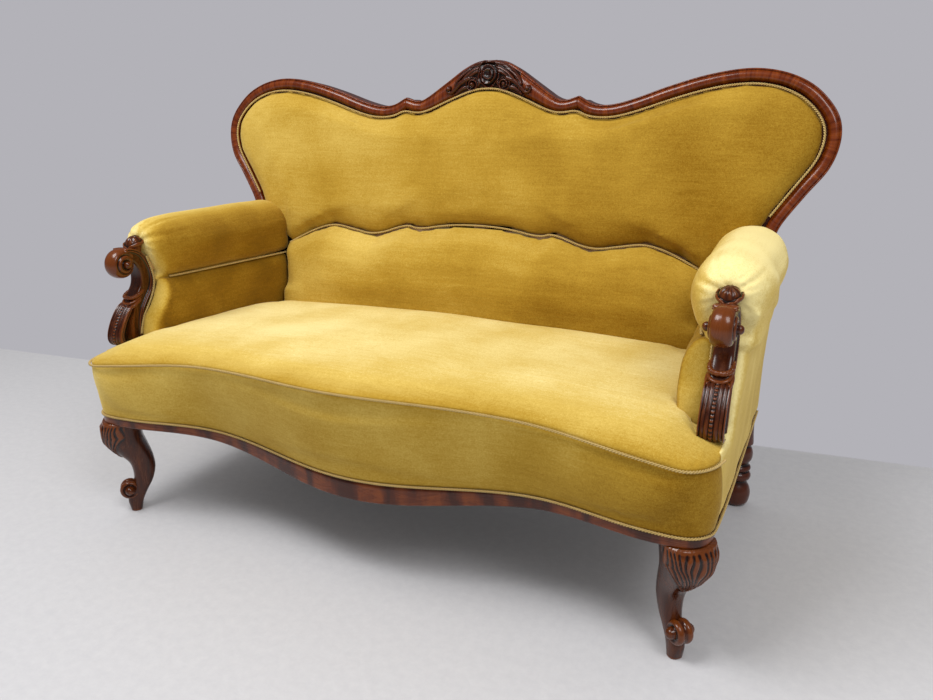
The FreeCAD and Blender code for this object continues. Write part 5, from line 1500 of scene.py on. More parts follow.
def front_rail():
    """The section, offset and rise, carried along the rail line and tied to its lower and upper edge."""
    line, out = rail_line()
    x, y = line.T
    low = dipped(x, LEG_HEIGHT, 56.0)
    top = np.where(np.abs(x) < HALF_WIDTH - 0.01, gimp_level(x),
                   np.interp(y, [CORNER_Y, RETURN_Y], [275.0, 253.5]))
    turn = np.linspace(np.pi / 2, 0.0, 7)
    offset = np.concatenate([[-VENEER, -4.0], -4.0 + 4.0 * np.cos(turn), [0.0, 0.0, 0.0, -1.5, -VENEER]])
    rise = np.concatenate([[0.0, 0.0], 4.0 - 4.0 * np.sin(turn), [0, 0, 0, 0, 0]])
    share = np.concatenate([np.zeros(9), [0.35, 0.7, 1.0, 1.0, 1.0]])
    plan = line[:, None] + out[:, None] * offset[None, :, None]
    height = low[:, None] + rise[None, :] + (top - low)[:, None] * share[None, :]
    grid = np.concatenate([plan, height[:, :, None]], axis=2)
    piece("front_rail_veneer", [skin(grid)], flame_veneer, ["front_polished_rail"])


front_rail()

# %% [markdown]
# ## The moulded back frame
# The show-wood round the back is a convex moulding with a thin bead on its outer edge, veneered
# across, so its short grain points at the pad. The outer and the inner edge are two curves, and the
# section is laid between them: share 0 is the outer edge and share 1 the inner edge.

# %% Moulding
SECTION = np.array([
    (0.0, 20.0), (0.0, 11.0), (0.0, 7.5), (0.02, 5.0), (0.05, 3.9), (0.09, 3.9), (0.12, 5.2), (0.145, 6.6),
    (0.17, 5.6), (0.22, 3.4), (0.3, 1.4), (0.4, 0.3), (0.5, 0.0), (0.6, 0.5), (0.7, 1.6), (0.8, 3.4),
    (0.88, 5.6), (0.94, 8.0), (0.98, 11.0), (1.0, 14.0), (1.0, 20.0)])


def moulding(outer, inner):
    """Points between two edges: place = outer + share (inner - outer), set back by the section's depth."""
    share, depth = SECTION.T
    flat = outer[:, None] + (inner - outer)[:, None] * share[None, :, None]
    return np.stack([flat[..., 0], front_plane(flat[..., 1], depth[None, :]), flat[..., 1]], axis=-1)


# The ear's inner edge runs beside the outer one, and over the last stations it turns to meet the crest.
ear_outer = flowing(EAR_EDGE[1:], 5.0)
ahead = headings(ear_outer)
ear_side = ear_outer + np.stack([-ahead[:, 1], ahead[:, 0]], axis=1) * MOULDING_WIDTH
settle = unit((np.arange(len(ear_outer)) - len(ear_outer) + 9) / 8.0)[:, None]
ear_side = ear_side * (1 - settle) + settle * (np.array(CREST_INNER[0]) + (ear_side - ear_side[-1]) * 0.9)
crest_outer = flowing(both_sides(CREST_EDGE), count=121)
crest_inner = flowing(both_sides(CREST_INNER), count=121)
pair("ear_moulding_", [skin(moulding(ear_outer, ear_side))], crossbanded, "back_moulding_")
piece("crest_moulding", [skin(moulding(crest_outer, crest_inner))], crossbanded)

# %% [markdown]
# ## The turned rear legs
# A rear leg comes off the lathe: one profile turned about an upright axis. The profile is height and
# radius, the grid is angle and height.

# %% Rear legs
REAR_LEG = (712.0, 372.0)
TURNED = [(0, 0.01), (0, 18), (3, 24), (10, 30), (24, 33.5), (38, 33.8), (52, 30), (62, 24.5), (68, 22.5),
          (71, 24), (74, 28.5), (80, 31), (86, 31), (92, 27.5), (95, 23.5), (97, 24.5), (100, 28.2),
          (104, 29.5), (109, 28.2), (113, 23.5), (117, 22.5), (121, 25), (130, 29.6), (142, 31.2),
          (154, 29.6), (162, 25.5), (166, 23.2), (169, 24), (171, 29), (176, 30), (200, 28), (252, 26),
          (252, 0.01)]


def turned(profile, axis_x, axis_y, sides=48):
    """radius(height) carried round an upright axis."""
    line = np.asarray(profile, float)
    angle = np.arange(sides) * 2 * np.pi / sides
    ring = np.stack([np.cos(angle), np.sin(angle)], axis=1)
    flat = line[:, 1][:, None, None] * ring[None]
    height = np.repeat(line[:, 0][:, None], sides, axis=1)[..., None]
    return np.concatenate([flat + [axis_x, axis_y], height], axis=2)


turned_profile = np.vstack([TURNED[:2], flowing(TURNED[1:-1], 2.0)[1:], TURNED[-1:]])
leg = patch(turned(turned_profile, *REAR_LEG), wrap_b=True)
pair("turned_leg_", [leg], polished_leg, "rear_leg_", carved=1.2)

# %% [markdown]
# ## Carving by formula: relief on the crest
# The crest carries a rose between two volutes, with acanthus leaves that run out along the band.
# Low relief like this is a height over a flat place, so it is drawn as one: a fine grid over the
# crest, and at each point the highest of several shapes. Each shape is simple: a petal is a cup that
# rises to its lip and drops, a volute is a wave wound into a spiral, a leaf is a rib with veins.

# %% Crest relief


def rose_height(x, z, centre_z=1078.0, wide=29.0, tall=34.0):
    """Three rings of petals: inside ring k the height is base k + lip t^2, and drops at its lip."""
    dx, dz = x / wide, (z - centre_z) / tall
    run, angle = np.hypot(dx, dz), np.arctan2(dz, dx)
    height = np.where(run < 0.16, 7.0, -20.0)
    inner = np.full(x.shape, 0.12)
    for reach, petals, base, lip, phase in ((0.40, 2, 8.0, 6.5, 0.5), (0.70, 3, 6.0, 6.0, 0.1),
                                            (1.0, 5, 2.0, 6.5, 0.9)):
        edge = reach * (1 + 0.07 * np.cos(petals * angle + phase))
        share = unit((run - inner) / np.maximum(edge - inner, 1e-6))
        gap = 1.6 * np.abs(np.cos(petals * (angle + phase) / 2)) ** 0.3 - 1.6
        height = np.where((run >= inner) & (run <= edge), base + lip * share ** 1.6 + gap, height)
        inner = edge
    return height


def volute_height(x, z, centre=(45.0, 1053.0), reach=19.0, turn=1.0):
    """A spiral ridge: 7 + 3.2 cos(2 pi r / pitch - angle), with an eye in the middle."""
    dx, dz = x - centre[0], z - centre[1]
    run, angle = np.hypot(dx, dz), np.arctan2(dz, dx)
    ridge = 6.5 + 3.4 * np.cos(2 * np.pi * run / 8.6 - turn * angle)
    eye = 8.0 + 1.2 * np.sqrt(np.clip(5.2 ** 2 - run ** 2, 0.0, None))
    height = np.where(run < 5.2, eye, ridge)
    return np.where(run < reach, height - 6.0 * unit((run - reach + 3.0) / 3.0) ** 2, -20.0)


def lobe_height(x, z, line, wide, tall):
    """A rounded rib along a line: tall sqrt(1 - (d / half width)^2), narrower towards its tip."""
    line = flowing(line, 1.5)
    away = np.stack([x.ravel(), z.ravel()], axis=1)[:, None] - line[None]
    gap = np.hypot(away[..., 0], away[..., 1])
    off = gap.min(axis=1).reshape(x.shape)
    share = (gap.argmin(axis=1) / (len(line) - 1.0)).reshape(x.shape)
    half = wide * (1.0 - 0.45 * share ** 2)
    body = tall * (1 - 0.25 * share) * np.sqrt(unit(1 - (off / half) ** 2))
    return np.where(off < half, body, -20.0)


# %% [markdown]
# ## The crest's grid
# The shapes are drawn in one half and mirrored. A real carver sinks the ground between them, so where
# no shape rises the grid drops behind the moulding's own face, which then shows.

# %% The carved crest
LOBES = [
    ([(16, 1106), (36, 1101), (56, 1091), (74, 1078), (88, 1063), (93, 1052)], 7.4, 12.5),
    ([(18, 1097), (38, 1091), (56, 1080), (69, 1067), (77, 1055)], 6.6, 12.0),
    ([(22, 1088), (38, 1083), (52, 1074), (61, 1066)], 6.0, 11.0),
    ([(54, 1068), (68, 1063), (82, 1054), (94, 1041), (104, 1033), (113, 1033), (118, 1040), (114, 1047)],
     7.0, 10.0),
    ([(58, 1046), (72, 1043), (84, 1036), (94, 1028)], 6.0, 8.0),
    ([(20, 1066), (27, 1055), (34, 1046)], 6.0, 9.0)]


def crest_relief():
    """The grid takes the highest shape, and only the rose inside the rose's own oval."""
    x = np.linspace(-126.0, 126.0, 337)
    share = np.linspace(-0.02, 1.12, 92)
    outer = np.interp(x, crest_outer[::-1, 0], crest_outer[::-1, 1])
    inner = np.interp(x, crest_inner[::-1, 0], crest_inner[::-1, 1])
    grid_x = np.repeat(x[:, None], len(share), axis=1)
    grid_z = outer[:, None] + (inner - outer)[:, None] * share[None, :]
    across = np.abs(grid_x)
    height = np.full(grid_x.shape, -20.0)
    shapes = [rose_height(grid_x, grid_z), volute_height(across, grid_z)]
    shapes += [lobe_height(across, grid_z, *lobe) for lobe in LOBES]
    tip = 4.0 + 1.2 * np.sqrt(np.clip(7.0 ** 2 - (across - 112.0) ** 2 - (grid_z - 1043.0) ** 2, 0.0, None))
    shapes.append(np.where(tip > 4.01, tip, -20.0))
    for shape in shapes:
        height = np.maximum(height, shape)
    own = np.hypot(grid_x / 30.0, (grid_z - 1078.0) / 35.0) < 1.0
    height = np.where(own & (shapes[0] > -8.0), shapes[0], np.where(own, 0.0, height))
    ground = (across < 96.0 - 0.25 * (grid_z - 1040.0)) & (share > 0.07)[None] & (share < 0.99)[None]
    height = np.maximum(height, np.where(ground, 0.8, -9.0))
    under = np.interp(unit(share), *SECTION.T)[None, :]
    depth = np.minimum(np.where(height > -8.0, np.minimum(under, 5.0) - height, under + 5.0), 16.0)
    front = np.stack([grid_x, front_plane(grid_z, depth), grid_z], axis=-1)
    back = np.stack([grid_x, front_plane(grid_z, 18.0), grid_z], axis=-1)[:, ::-1]
    grid = np.concatenate([front, back[:, ::91]], axis=1)
    piece("crest_carving", [skin(grid)], carved_dark, ["back_moulding_crest"], carved=4.5)


crest_relief()

# %% [markdown]
# ## Lofts and rings
# The rest of the carving is in the round. It is put together from a few kinds of surface, as a carver
# sets out the large forms first: a section carried along a drawn stem, a volute turned about a level
# axis with its radius shrinking as it goes round, and rings.

# %% Stems, volutes and rings in the upright plane of an arm


def stem(line, half, section, x_middle):
    """A section carried along a line in the y, z plane.

    place = line + normal * half * p, and x = middle + q, for section points (p, q).
    """
    line, half = np.asarray(line, float), np.asarray(half, float)
    ahead = headings(line)
    normal = np.stack([ahead[:, 1], -ahead[:, 0]], axis=1)
    p, q = np.asarray(section, float).T
    flat = line[:, None] + normal[:, None] * half[:, None, None] * p[None, :, None]
    wide = np.repeat((x_middle + q)[None, :], len(line), axis=0)
    return skin(np.concatenate([wide[..., None], flat], axis=2))


def both_ways(section):
    """A half section with q above 0, closed by its mirror image."""
    half = np.asarray(section, float)
    return np.vstack([half, half[::-1] * [1.0, -1.0]])


def wound(profile, eye, shrink, steps=72):
    """A profile (x, r) wound once round while r shrinks: r' = eye + (r - eye) (1 - shrink share)."""
    share = np.linspace(0.0, 1.0, steps)
    x, r = np.asarray(profile, float).T
    run = np.where(r > eye, eye + (r - eye) * (1.0 - shrink * share)[:, None], r)
    return 2 * np.pi * share, np.repeat(x[None], steps, axis=0), run


def volute(centre, profile, start, shrink, x_middle, eye=8.5):
    """The wound profile about a level axis across the sofa."""
    angle, x, run = wound(profile, eye, shrink)
    y = centre[0] + run * np.cos(start + angle)[:, None]
    z = centre[1] + run * np.sin(start + angle)[:, None]
    return patch(np.stack([x_middle + x, y, z], axis=-1), cap_a=True)


def ring(x_middle, centre, lean, reach_x, reach_p, thick, beads, bead):
    """A round bar bent into an oval about a stem: the oval's second axis leans by some degrees.

    Its thickness swells by the share bead, as many times round as there are beads.
    """
    tilt = math.radians(lean)
    angle = np.arange(112) * 2 * np.pi / 112
    tube = np.arange(12) * 2 * np.pi / 12
    thick = thick * (1 + bead * np.cos(beads * angle))[:, None]
    out = thick * np.cos(tube)[None, :]
    lift = thick * np.sin(tube)[None, :]
    x = (reach_x + out) * powered(np.cos(angle), 0.8)[:, None]
    p = (reach_p + out) * powered(np.sin(angle), 0.8)[:, None]
    y = centre[0] + p * np.cos(tilt) - lift * np.sin(tilt)
    z = centre[1] + p * np.sin(tilt) + lift * np.cos(tilt)
    return patch(np.stack([x_middle + x, y, z], axis=-1), wrap_a=True, wrap_b=True)


def mirrored_profile(half):
    """A profile from the eye on one side over the rim to the eye on the other."""
    half = np.asarray(half, float)
    return np.vstack([half, half[-2::-1] * [-1.0, 1.0]])


# %% [markdown]
# ## The carved arm supports
# The front of each arm is one piece of mahogany: a shell at the top, a large volute that curls
# forward with a button at each side, a swept neck with two beads along its back edge, a collar, and
# under it a hood with reeds and a string of beads that runs down to the seat.

# %% Arm supports
NECK = [(-239, 330), (-239, 440), (-237, 478), (-229, 508), (-212, 535), (-194, 560), (-187, 583),
        (-189, 606), (-199, 628), (-214, 643), (-230, 650), (-246, 652)]
NECK_HALF = [10.5, 10.5, 12, 16, 20, 20, 19, 20, 21, 19, 17, 14]
NECK_SECTION = [(-1.0, 0.0), (-1.0, 10.0), (-0.95, 15.5), (-0.8, 18.5), (-0.5, 19.0), (-0.1, 18.4),
                (0.2, 18.4), (0.34, 19.2), (0.42, 21.4), (0.52, 21.9), (0.6, 20.8), (0.64, 19.6),
                (0.7, 21.0), (0.8, 21.9), (0.93, 20.6), (1.0, 16.0), (1.03, 8.0), (1.04, 0.0)]
VOLUTE_PROFILE = [(35.5, 0.01), (35.0, 3.4), (33.2, 6.2), (30.5, 8.2), (27.5, 8.8), (24.8, 8.9),
                  (21.6, 9.6), (20.4, 11.4), (22.4, 13.6), (23.8, 17.0), (23.4, 20.6), (21.4, 23.2),
                  (19.2, 24.2), (18.2, 25.6), (19.2, 28.4), (19.0, 31.6), (16.8, 35.2), (12.6, 38.2),
                  (6.8, 40.2), (0.0, 41.0)]
CAP_PROFILE = [(0.001, 17.0), (0.2, 16.6), (0.42, 14.8), (0.6, 12.0), (0.74, 8.4), (0.83, 4.4), (0.87, 1.6),
               (0.93, 1.2), (1.0, 2.6), (1.08, 2.2), (1.13, 0.0), (1.13, -2.8), (1.06, -5.4), (0.94, -6.6),
               (0.7, -8.0), (0.35, -9.5), (0.001, -10.0)]


def shell_cap(x_middle):
    """A dome over an oval: place = centre + tilt (rho a cos t, rho b sin t, h), its rim waved."""
    angle = np.arange(96) * 2 * np.pi / 96
    rho, high = flowing(np.asarray(CAP_PROFILE) * [24.0, 1.0], 1.2).T
    rho = rho / 24.0
    a = 22.0 * rho[:, None] * np.cos(angle)[None]
    b = 27.0 * rho[:, None] * np.sin(angle)[None]
    rimmed = unit((rho[:, None] - 0.6) / 0.4)
    c = high[:, None] + rimmed * (2.6 * np.cos(2 * angle) - 1.2 * np.cos(4 * angle))[None]
    c = c + 0.9 * np.cos(9 * angle)[None] * unit(rho[:, None] * 1.6) * (high[:, None] > 2)
    lean = math.radians(16.0)
    y = -197.0 + b * math.cos(lean) - c * math.sin(lean)
    z = 674.0 + b * math.sin(lean) + c * math.cos(lean)
    return patch(np.stack([x_middle + a, y, z], axis=-1), wrap_b=True)


# %% [markdown]
# ## The hood under the collar
# The hood is reeded like a half opened fan, with a string of beads down its middle. The reeds run along
# a curved stem, so the sections are laid in planes square to it, and each reed is a rounded cosine.

# %% The reeded hood
HOOD_FRONT = [(-243, 528), (-256, 520), (-270, 505), (-284, 484), (-294, 461), (-295, 443), (-287, 431),
              (-272, 425), (-258, 425)]
HOOD_CORE = [(-226, 522), (-233, 517), (-238, 508), (-242, 492), (-245, 475), (-247, 460), (-249, 448),
             (-251, 440), (-252, 436)]


def reeded_hood(x_middle):
    """Sections in planes through x: reeds in front, a bead string in the middle, a rim at each side."""
    front = flowing(HOOD_FRONT, 1.6)
    core = flowing(HOOD_CORE, count=len(front))
    walk = np.arange(len(front)) * 1.6
    away = front - core
    reach = np.linalg.norm(away, axis=1, keepdims=True)
    away = away / reach
    x = np.linspace(-20.0, 20.0, 81)
    side = np.abs(x)
    reeds = 2.4 * np.abs(np.cos(np.pi * (side - 8.6) / 8.0)) ** 0.7 * (side > 4.6)
    string = unit(1 - (side / 3.6) ** 2) ** 0.5
    beads = 1.2 + 2.6 * np.abs(np.sin(np.pi * walk / 8.0)) ** 0.6
    relief = reeds[None] + string[None] * beads[:, None] - 0.010 * side[None] ** 2
    fade = unit((len(front) - 1 - np.arange(len(front))) / 6.0)[:, None]
    face = reach + relief * fade - 1.5
    flank = np.array([(21.5, 0.0), (23.0, -2.0), (23.6, -4.5), (23.0, -7.0), (21.2, -8.6), (20.2, -9.4),
                      (21.6, -11.0), (22.2, -13.0), (21.4, -15.0), (19.6, -16.0)])
    tail = np.array([(19.0, 0.0), (17.0, -5.0), (0.0, -6.0)])
    down_x = np.concatenate([flank[:, 0], tail[:, 0]])
    down_d = np.concatenate([reach + flank[None, :, 1] * np.minimum(reach / 30.0, 1.0),
                             np.repeat(tail[None, :, 1], len(front), axis=0)], axis=1)
    section_x = np.concatenate([x, down_x, -down_x[-2::-1]])
    distance = np.concatenate([face, down_d, down_d[:, -2::-1]], axis=1)
    flat = core[:, None] + away[:, None] * distance[..., None]
    wide = np.repeat((x_middle + section_x)[None], len(front), axis=0)
    return skin(np.concatenate([wide[..., None], flat], axis=2))


# %% [markdown]
# ## A support put together
# The parts overlap a little, as they do in the block they are carved from. The collar is three rings,
# each with its centre, lean in degrees, half width, half depth, thickness, and count and depth of beads.

# %% Put the supports together


def support_parts(x):
    """Neck, the foot of the cap, volute, cap, hood and the three rings of the collar."""
    half = flowing(np.column_stack([np.arange(len(NECK_HALF)) * 30.0, NECK_HALF]), count=150)[:, 1]
    section = flowing(np.asarray(NECK_SECTION) * [20.0, 1.0], 0.9) / [20.0, 1.0]
    collar = [((-219.0, 549.0), 24.0, 19.6, 21.0, 5.0, 22, 0.10),
              ((-226.0, 537.0), 27.0, 18.6, 22.0, 3.4, 0, 0.0),
              ((-231.0, 528.0), 30.0, 21.4, 23.0, 4.4, 0, 0.0)]
    return [stem(flowing(NECK, count=150), half, both_ways(section), x),
            stem(flowing([(-205, 640), (-200, 656), (-196, 672)], count=12), np.full(12, 13.0),
                 both_ways([(-1, 0), (-1, 9), (-0.7, 14), (0, 15), (0.7, 14), (1, 9), (1, 0)]), x),
            volute((-249.0, 627.0), mirrored_profile(flowing(VOLUTE_PROFILE, 1.1)), 0.55, 0.34, x),
            shell_cap(x), reeded_hood(x)] + [ring(x, *one) for one in collar]


pair("carved_support_", support_parts(SUPPORT_X), carved_wood, "arm_support_", carved=1.8)

# %% [markdown]
# ## The cabriole legs
# A front leg stands on the corner and faces outwards at 45 degrees. It is an S: the knee swells out
# under the rail, the ankle draws in, and the toe rolls forward into a scroll with a button at each
# side. Seen from above each section is between a circle and a square. On the knee hangs an acanthus
# leaf whose ribs run together at its point.

# %% Front legs
LEG_STATIONS = np.array([
    (0, -2, 13, 14), (28, -3, 19, 15.5), (50, -12, 20.5, 16.5), (80, -26, 23, 19), (111, -31, 27, 22),
    (136, -27, 30.5, 25), (160, -14.5, 38, 30), (182, -1.5, 44, 36), (205, 7.5, 46, 43), (232, 9, 46, 48),
    (252, 6, 44, 50)], float)
TOE_PROFILE = [(30.0, 0.01), (29.4, 4.0), (27.4, 7.4), (24.2, 10.0), (20.6, 11.2), (17.8, 11.8),
               (15.4, 12.4), (14.2, 13.8), (15.4, 16.4), (16.4, 19.4), (15.6, 22.4), (13.4, 24.6),
               (10.4, 25.8), (7.4, 25.8), (4.6, 24.6), (2.2, 22.8), (0.0, 22.0)]
LEG_PLACE = (690.0, -316.0)


def leg_body():
    """Superellipse sections |f/a|^2.5 + |w/b|^2.5 = 1, with the leaf raised on the knee."""
    level = np.concatenate([[0.0, 0.8], np.linspace(2.0, 250.0, 150), [251.9]])
    smooth = flowing(LEG_STATIONS, 1.0)
    shift, deep, wide = (np.interp(level, smooth[:, 0], smooth[:, k]) for k in (1, 2, 3))
    deep[0], wide[0] = deep[0] - 2.0, wide[0] - 2.0
    angle = np.arange(216) * 2 * np.pi / 216
    angle = np.where(angle > np.pi, angle - 2 * np.pi, angle)
    ring_f, ring_w = powered(np.cos(angle), 2.0 / 2.5), powered(np.sin(angle), 2.0 / 2.5)
    height = level[:, None]
    fan = 1.75 * unit((height - 146.0) / 70.0) ** 0.75
    across = angle[None, :] / np.maximum(fan, 1e-3)
    inside = unit((1.0 - np.abs(across)) * 9.0) * unit((height - 146.0) / 6.0)
    bent = across + 0.035 * np.sin(9.0 * across + height / 13.0)
    ribs = np.abs(np.cos(8.0 * np.pi * bent)) ** 1.3
    droop = 1.0 + 0.12 * np.cos(2 * np.pi * (height + 30.0 * np.abs(across)) / 30.0)
    tall = (3.0 + 1.4 * np.abs(np.cos(4.0 * np.pi * bent))) * ribs * droop
    leaf = inside * np.clip((252.0 - height) / 16.0, 0.15, 1.0) * (0.6 + tall)
    reach_f = deep[:, None] * ring_f[None] + leaf * np.cos(angle)[None]
    reach_w = wide[:, None] * ring_w[None] + leaf * np.sin(angle)[None]
    return shift[:, None] + reach_f, reach_w, np.repeat(height, len(angle), axis=1)


def on_corner(forward, sideways, height):
    """From the leg's own directions to the sofa's: forward is outwards at 45 degrees."""
    turn = math.sqrt(0.5)
    x = LEG_PLACE[0] + turn * (forward + sideways)
    y = LEG_PLACE[1] - turn * (forward - sideways)
    return np.stack([x, y, height], axis=-1)


def toe_scroll():
    """The wound profile again, in the leg's own upright plane."""
    angle, x, run = wound(mirrored_profile(flowing(TOE_PROFILE, 0.9)), 12.0, 0.30)
    turn = math.radians(-150.0) + angle
    forward = 8.0 + run * np.cos(turn)[:, None]
    height = 60.0 + run * np.sin(turn)[:, None]
    return patch(on_corner(forward, x, height), cap_a=True)


pair("cabriole_leg_", [skin(on_corner(*leg_body())), toe_scroll()], carved_wood, "front_leg_",
     carved=2.0)

# %% [markdown]
# ## Springs, webbing and cloths under the seat
# Under the stuffing stand 24 hourglass springs on jute webbing, covered with hessian. A dust cover of
# black cotton closes the seat from below and a lining closes the back.

# %% Springs
SPRING_ROWS = (-165.0, 25.0, 215.0)
SPRING_LOW, SPRING_HIGH = 252.3, 400.0
WIRE = 1.8
TURNS = 4.0


def springs():
    """A wire on a helix whose radius grows from the waist to both ends: r = 27 + 17 d^1.5."""
    turn = np.linspace(0.0, TURNS, 97)
    height = SPRING_LOW + WIRE + (SPRING_HIGH - SPRING_LOW - 2 * WIRE) * turn / TURNS
    out = 27.0 + 17.0 * np.abs(turn / 2.0 - 1.0) ** 1.5
    angle = 2 * np.pi * (turn + 0.25)
    line = np.stack([out * np.cos(angle), out * np.sin(angle), height], axis=1)
    side, up = across_line(line, (0, 0, 1))
    return [round_bar(line + [sign * x, y, 0.0], side, up, WIRE, 8)
            for x in (90.0, 270.0, 450.0, 610.0) for y in SPRING_ROWS for sign in (1.0, -1.0)]


piece("coil_springs", springs(), spring_wire, ["seat_springs"])

# %% [markdown]
# ## Webbing and cloths
# Webbing is a flat strap of jute, tacked to the rails. Each strap is one strip with a real thickness.
# The cloths are drawn taut by formula: nothing hangs free, so a cloth simulation would change nothing.
# Their sizes before they were fixed are worked out from the frame that they cover.

# %% Webbing and cloths
WEB_WIDE, WEB_THICK = 50.0, 1.5


def strip(start, end, wide_dir, steps=60):
    """A flat strap from start to end: ten points round its section, across and through the cloth."""
    line = np.asarray(start, float) + (np.asarray(end, float) - start) * np.linspace(0.0, 1.0, steps)[:, None]
    wide_dir = np.asarray(wide_dir, float)
    across = np.array([-1.0, -0.5, 0.0, 0.5, 1.0, 1.0, 0.5, 0.0, -0.5, -1.0]) * WEB_WIDE / 2
    layer = np.repeat([WEB_THICK / 2, -WEB_THICK / 2], 5)
    normal = np.cross(headings(line), wide_dir)
    return skin(line[:, None] + across[None, :, None] * wide_dir + layer[None, :, None] * normal[:, None])


straps = []
for x in (-610.0, -450.0, -270.0, -90.0, 90.0, 270.0, 450.0, 610.0):
    front = float(42.9 - front_line(abs(x) - 25.0))
    straps.append(strip((x, front + 4.0, 251.1), (x, 387.0, 251.1), (1, 0, 0)))
for y in SPRING_ROWS:
    straps.append(strip((-723.0, y, 249.3), (723.0, y, 249.3), (0, 1, 0)))
piece("webbing_seat", straps, jute, ["seat_webbing"])

LOW_WEB_Y = 335.7
straps = []
for x, top in ((-588.0, 1018.0), (-352.0, 960.0), (-117.0, 990.0), (117.0, 990.0), (352.0, 960.0),
               (588.0, 1018.0)):
    straps.append(strip((x, front_plane(645.0, 18.6), 645.0), (x, front_plane(top, 18.6), top), (1, 0, 0)))
    straps.append(strip((x, LOW_WEB_Y, 406.0), (x, LOW_WEB_Y, 444.0), (1, 0, 0), steps=8))
    straps.append(strip((x, LOW_WEB_Y, 444.0), (x, front_plane(636.0, 18.9), 636.0), (1, 0, 0), steps=8))
piece("webbing_back", straps, jute, ["back_webbing"])


def seat_cloth(name, node, material, low, high, sag, rear, reach, inset_front):
    """A thin cloth in the plan of the seat: straight behind, following the serpentine in front."""
    x = np.linspace(-reach, reach, 121)
    front = -front_line(x) + 42.3 + inset_front
    share = np.linspace(0.0, 1.0, 60)
    grid_x = np.repeat(x[:, None], 60, axis=1)
    grid_y = front[:, None] + (rear - front)[:, None] * share[None, :]
    hang = sag * np.sin(np.pi * share)[None, :] * np.cos(np.pi * x / (2 * reach))[:, None]
    upper = np.stack([grid_x, grid_y, high - hang], axis=-1)
    lower = np.stack([grid_x, grid_y, low - hang], axis=-1)[:, ::-1]
    made = piece(name, [skin(np.concatenate([upper, lower], axis=1))], material, [node])
    area = float(np.trapz(rear - front, x)) * MM * MM
    return made, (2 * reach * MM, float(rear - front.min()) * MM), area


hessian_sheet, flat, area = seat_cloth("hessian_sheet", "spring_hessian", hessian, 400.5, 401.7,
                                       0.0, 228.0, 605.0, 0.5)
under_sheet, flat, area = seat_cloth("under_sheet", "dust_cover", lining, 246.6, 247.8, 3.0, 374.0,
                                     610.0, -24.0)

# %% [markdown]
# ## The lining behind the back
# The outside back is closed with black cotton, pulled tight over the frame and turned in at its edge.
# It is a fan of rings from the frame's outline to its middle.

# %% The lining behind the back
# The cloth follows the frame's edge 7 mm inside it, and lies 4.4 mm behind the posts, less at its rim.
edge = flowing(np.vstack([inset(EAR_EDGE, 7.0)[1:], inset(CREST_EDGE, 7.0)[1:]]), 8.0)
foot = evenly(np.array([[726.0, 256.0], [726.0, 634.0]]), 10.0)
outline = both_sides(np.vstack([foot, edge[edge[:, 1] > 645.0]]))
centre = np.array([0.0, 640.0])
share = np.concatenate([[1.0, 1.0, 0.995], np.linspace(0.98, 0.0, 40)])
flat_points = centre + (outline[:, None] - centre) * share[None, :, None]
depth = np.concatenate([[0.4, 3.0, 4.2], np.full(40, 4.4)])[None, :]
flat_x, flat_z = flat_points[..., 0], flat_points[..., 1]
outside = np.stack([flat_x, rear_plane(flat_z) + depth, flat_z], axis=-1)
inside = np.stack([flat_x, rear_plane(flat_z) + 0.4, flat_z], axis=-1)
whole = np.concatenate([outside, inside[:, ::-1]], axis=1)
made = piece("back_cloth", [patch(whole, wrap_a=True, wrap_b=True)], back_lining_cloth,
             ["outside_back_panel"])
fan = outline - outline.mean(axis=0)
area = 0.5 * abs(np.sum(fan[:, 0] * np.roll(fan[:, 1], -1) - fan[:, 1] * np.roll(fan[:, 0], -1))) * MM * MM

# %% [markdown]
# ## Studio, lamps and camera
# A plain pale studio: a painted floor, which takes the backdrop's colour beyond the line where the
# wall would stand. The light is level and soft, so that colours come out about as they are written:
# an even room light, and two soft lamps high in front, one at each side.

# %% Room
WALL_LEFT = np.array([-2.367, 0.502])
WALL_RIGHT = np.array([1.201, 0.822])
WALL_COLOUR = "B3B2B8"
along = (WALL_RIGHT - WALL_LEFT) / np.linalg.norm(WALL_RIGHT - WALL_LEFT)
into = np.array([-along[1], along[0]])


def seen(tree):
    """1 for rays from the camera, a mirror or clear glass, which see the painted backdrop."""
    path = add(tree, "LightPath").outputs
    total = joined(tree, "ADD", path["Is Camera Ray"], path["Is Glossy Ray"], True)
    return joined(tree, "ADD", total, path["Is Transmission Ray"], True)


def studio_floor():
    """Painted floor up to the wall line, and the plain backdrop colour beyond it."""
    floor, tree, shader = new_material("studio floor and backdrop")
    place = add(tree, "TexCoord").outputs["Object"]
    speckle = noise(tree, place, 45.0, 6.0, 0.75)
    finished(tree, shader, ramp(tree, speckle, [(0.3, "C1C0C3"), (0.7, "CAC9CB")]), {"Roughness": 0.55})
    beyond = add(tree, "VectorMath", {0: place}, {1: (*map(float, into), 0.0)}, operation="DOT_PRODUCT")
    line = float(into @ WALL_LEFT)
    share = spread(tree, beyond.outputs["Value"], line, line + 0.01)
    paint = add(tree, "Emission", values={"Color": colour(WALL_COLOUR), "Strength": 1.0})
    painted = joined(tree, "MULTIPLY", share, seen(tree))
    both = add(tree, "MixShader", {"Fac": painted, 1: shader.outputs["BSDF"], 2: paint.outputs["Emission"]})
    tree.links.new(both.outputs["Shader"], tree.nodes["Material Output"].inputs["Surface"])
    return floor


span = np.linspace(-9000.0, 9000.0, 3)
grid = np.stack(np.meshgrid(span, span, [0.0], indexing="ij"), axis=-1)[:, :, 0]
mesh = mesh_of("floor", [patch(grid)])
mesh.materials.append(studio_floor())
floor = placed("floor", mesh)

# %% [markdown]
# ## Lamps and room light
# Two large soft lamps high in front give the rounded shades, and the even room light fills the rest.
# The polish mirrors a darker room than the camera sees, as it would in a real one, so wood stays deep.

# %% Lamps


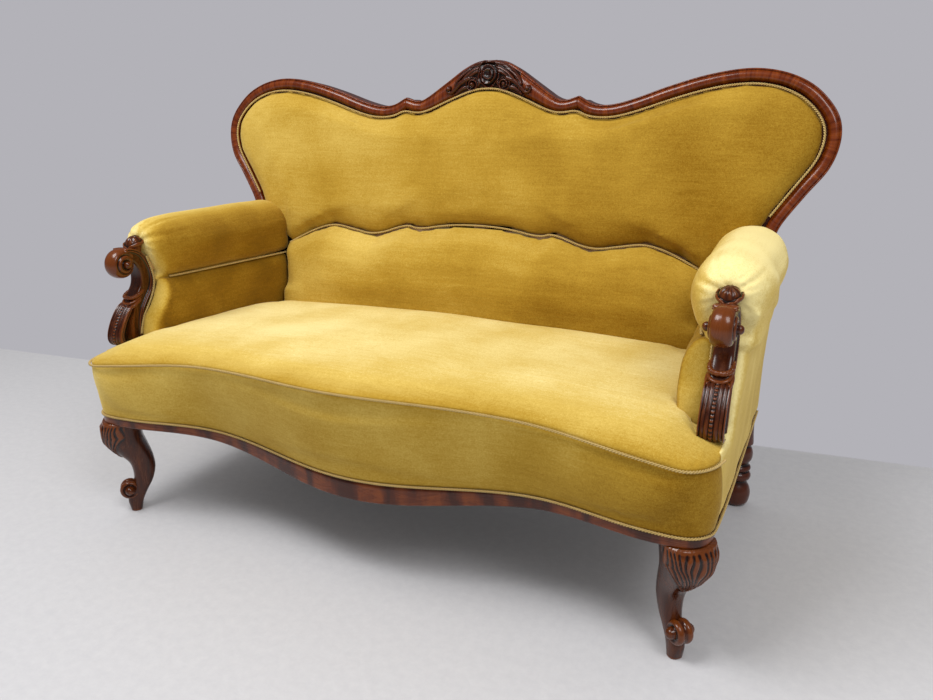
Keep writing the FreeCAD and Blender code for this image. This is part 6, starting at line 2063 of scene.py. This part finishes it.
def lamp(name, place, target, width, height, power):
    """A rectangular soft lamp that looks at a target."""
    data = bpy.data.lights.new(name, "AREA")
    data.shape = "RECTANGLE"
    data.size = width
    data.size_y = height
    data.energy = power
    made = placed(name, data)
    made.location = place
    direction = np.asarray(target) - np.asarray(place)
    made.rotation_euler = Vector(direction).to_track_quat("-Z", "Y").to_euler()
    return made


lamp("key", (-1.0, -1.4, 3.5), (0.0, 0.0, 0.5), 1.8, 1.4, 92.0)
lamp("fill", (2.2, -1.7, 3.2), (0.6, 0.0, 0.3), 1.4, 1.6, 52.0)
world = bpy.data.worlds.new("room light")
bpy.context.scene.world = world
world.use_nodes = True
tree = world.node_tree
tree.nodes.clear()
light = add(tree, "Background", values={"Color": (1.0, 1.0, 1.0, 1.0), "Strength": 0.55})
mirrored = add(tree, "LightPath").outputs["Is Glossy Ray"]
tone = mixed(tree, mirrored, WALL_COLOUR, "6C6A6E")
backdrop = add(tree, "Background", {"Color": tone}, {"Strength": 1.0})
chosen = add(tree, "MixShader", {"Fac": seen(tree), 1: light.outputs["Background"],
                                 2: backdrop.outputs["Background"]})
add(tree, "OutputWorld", {"Surface": chosen.outputs["Shader"]})

# %% [markdown]
# ## The photograph's camera
# The camera stands where the photograph was taken from, found by fitting outlines that mirror each
# other. Turn, tilt and roll are in radians, and the lens is in millimetres on a 36 mm film.

# %% Camera
EYE = (0.8746, -1.6326, 0.9854)
YAW, PITCH, ROLL = 0.4388, 0.2919, -0.0021
LENS = 30.65
camera_data = bpy.data.cameras.new("camera")
camera_data.sensor_width = 36.0
camera_data.sensor_fit = "HORIZONTAL"
camera_data.lens = LENS
camera = placed("camera", camera_data)
camera.location = EYE
away = Vector((math.sin(YAW) * math.cos(PITCH), -math.cos(YAW) * math.cos(PITCH), math.sin(PITCH)))
camera.rotation_mode = "QUATERNION"
camera.rotation_quaternion = (-away).to_track_quat("-Z", "Y") @ Quaternion((0.0, 0.0, 1.0), ROLL)
bpy.context.scene.camera = camera
bpy.context.scene.view_settings.view_transform = "Standard"
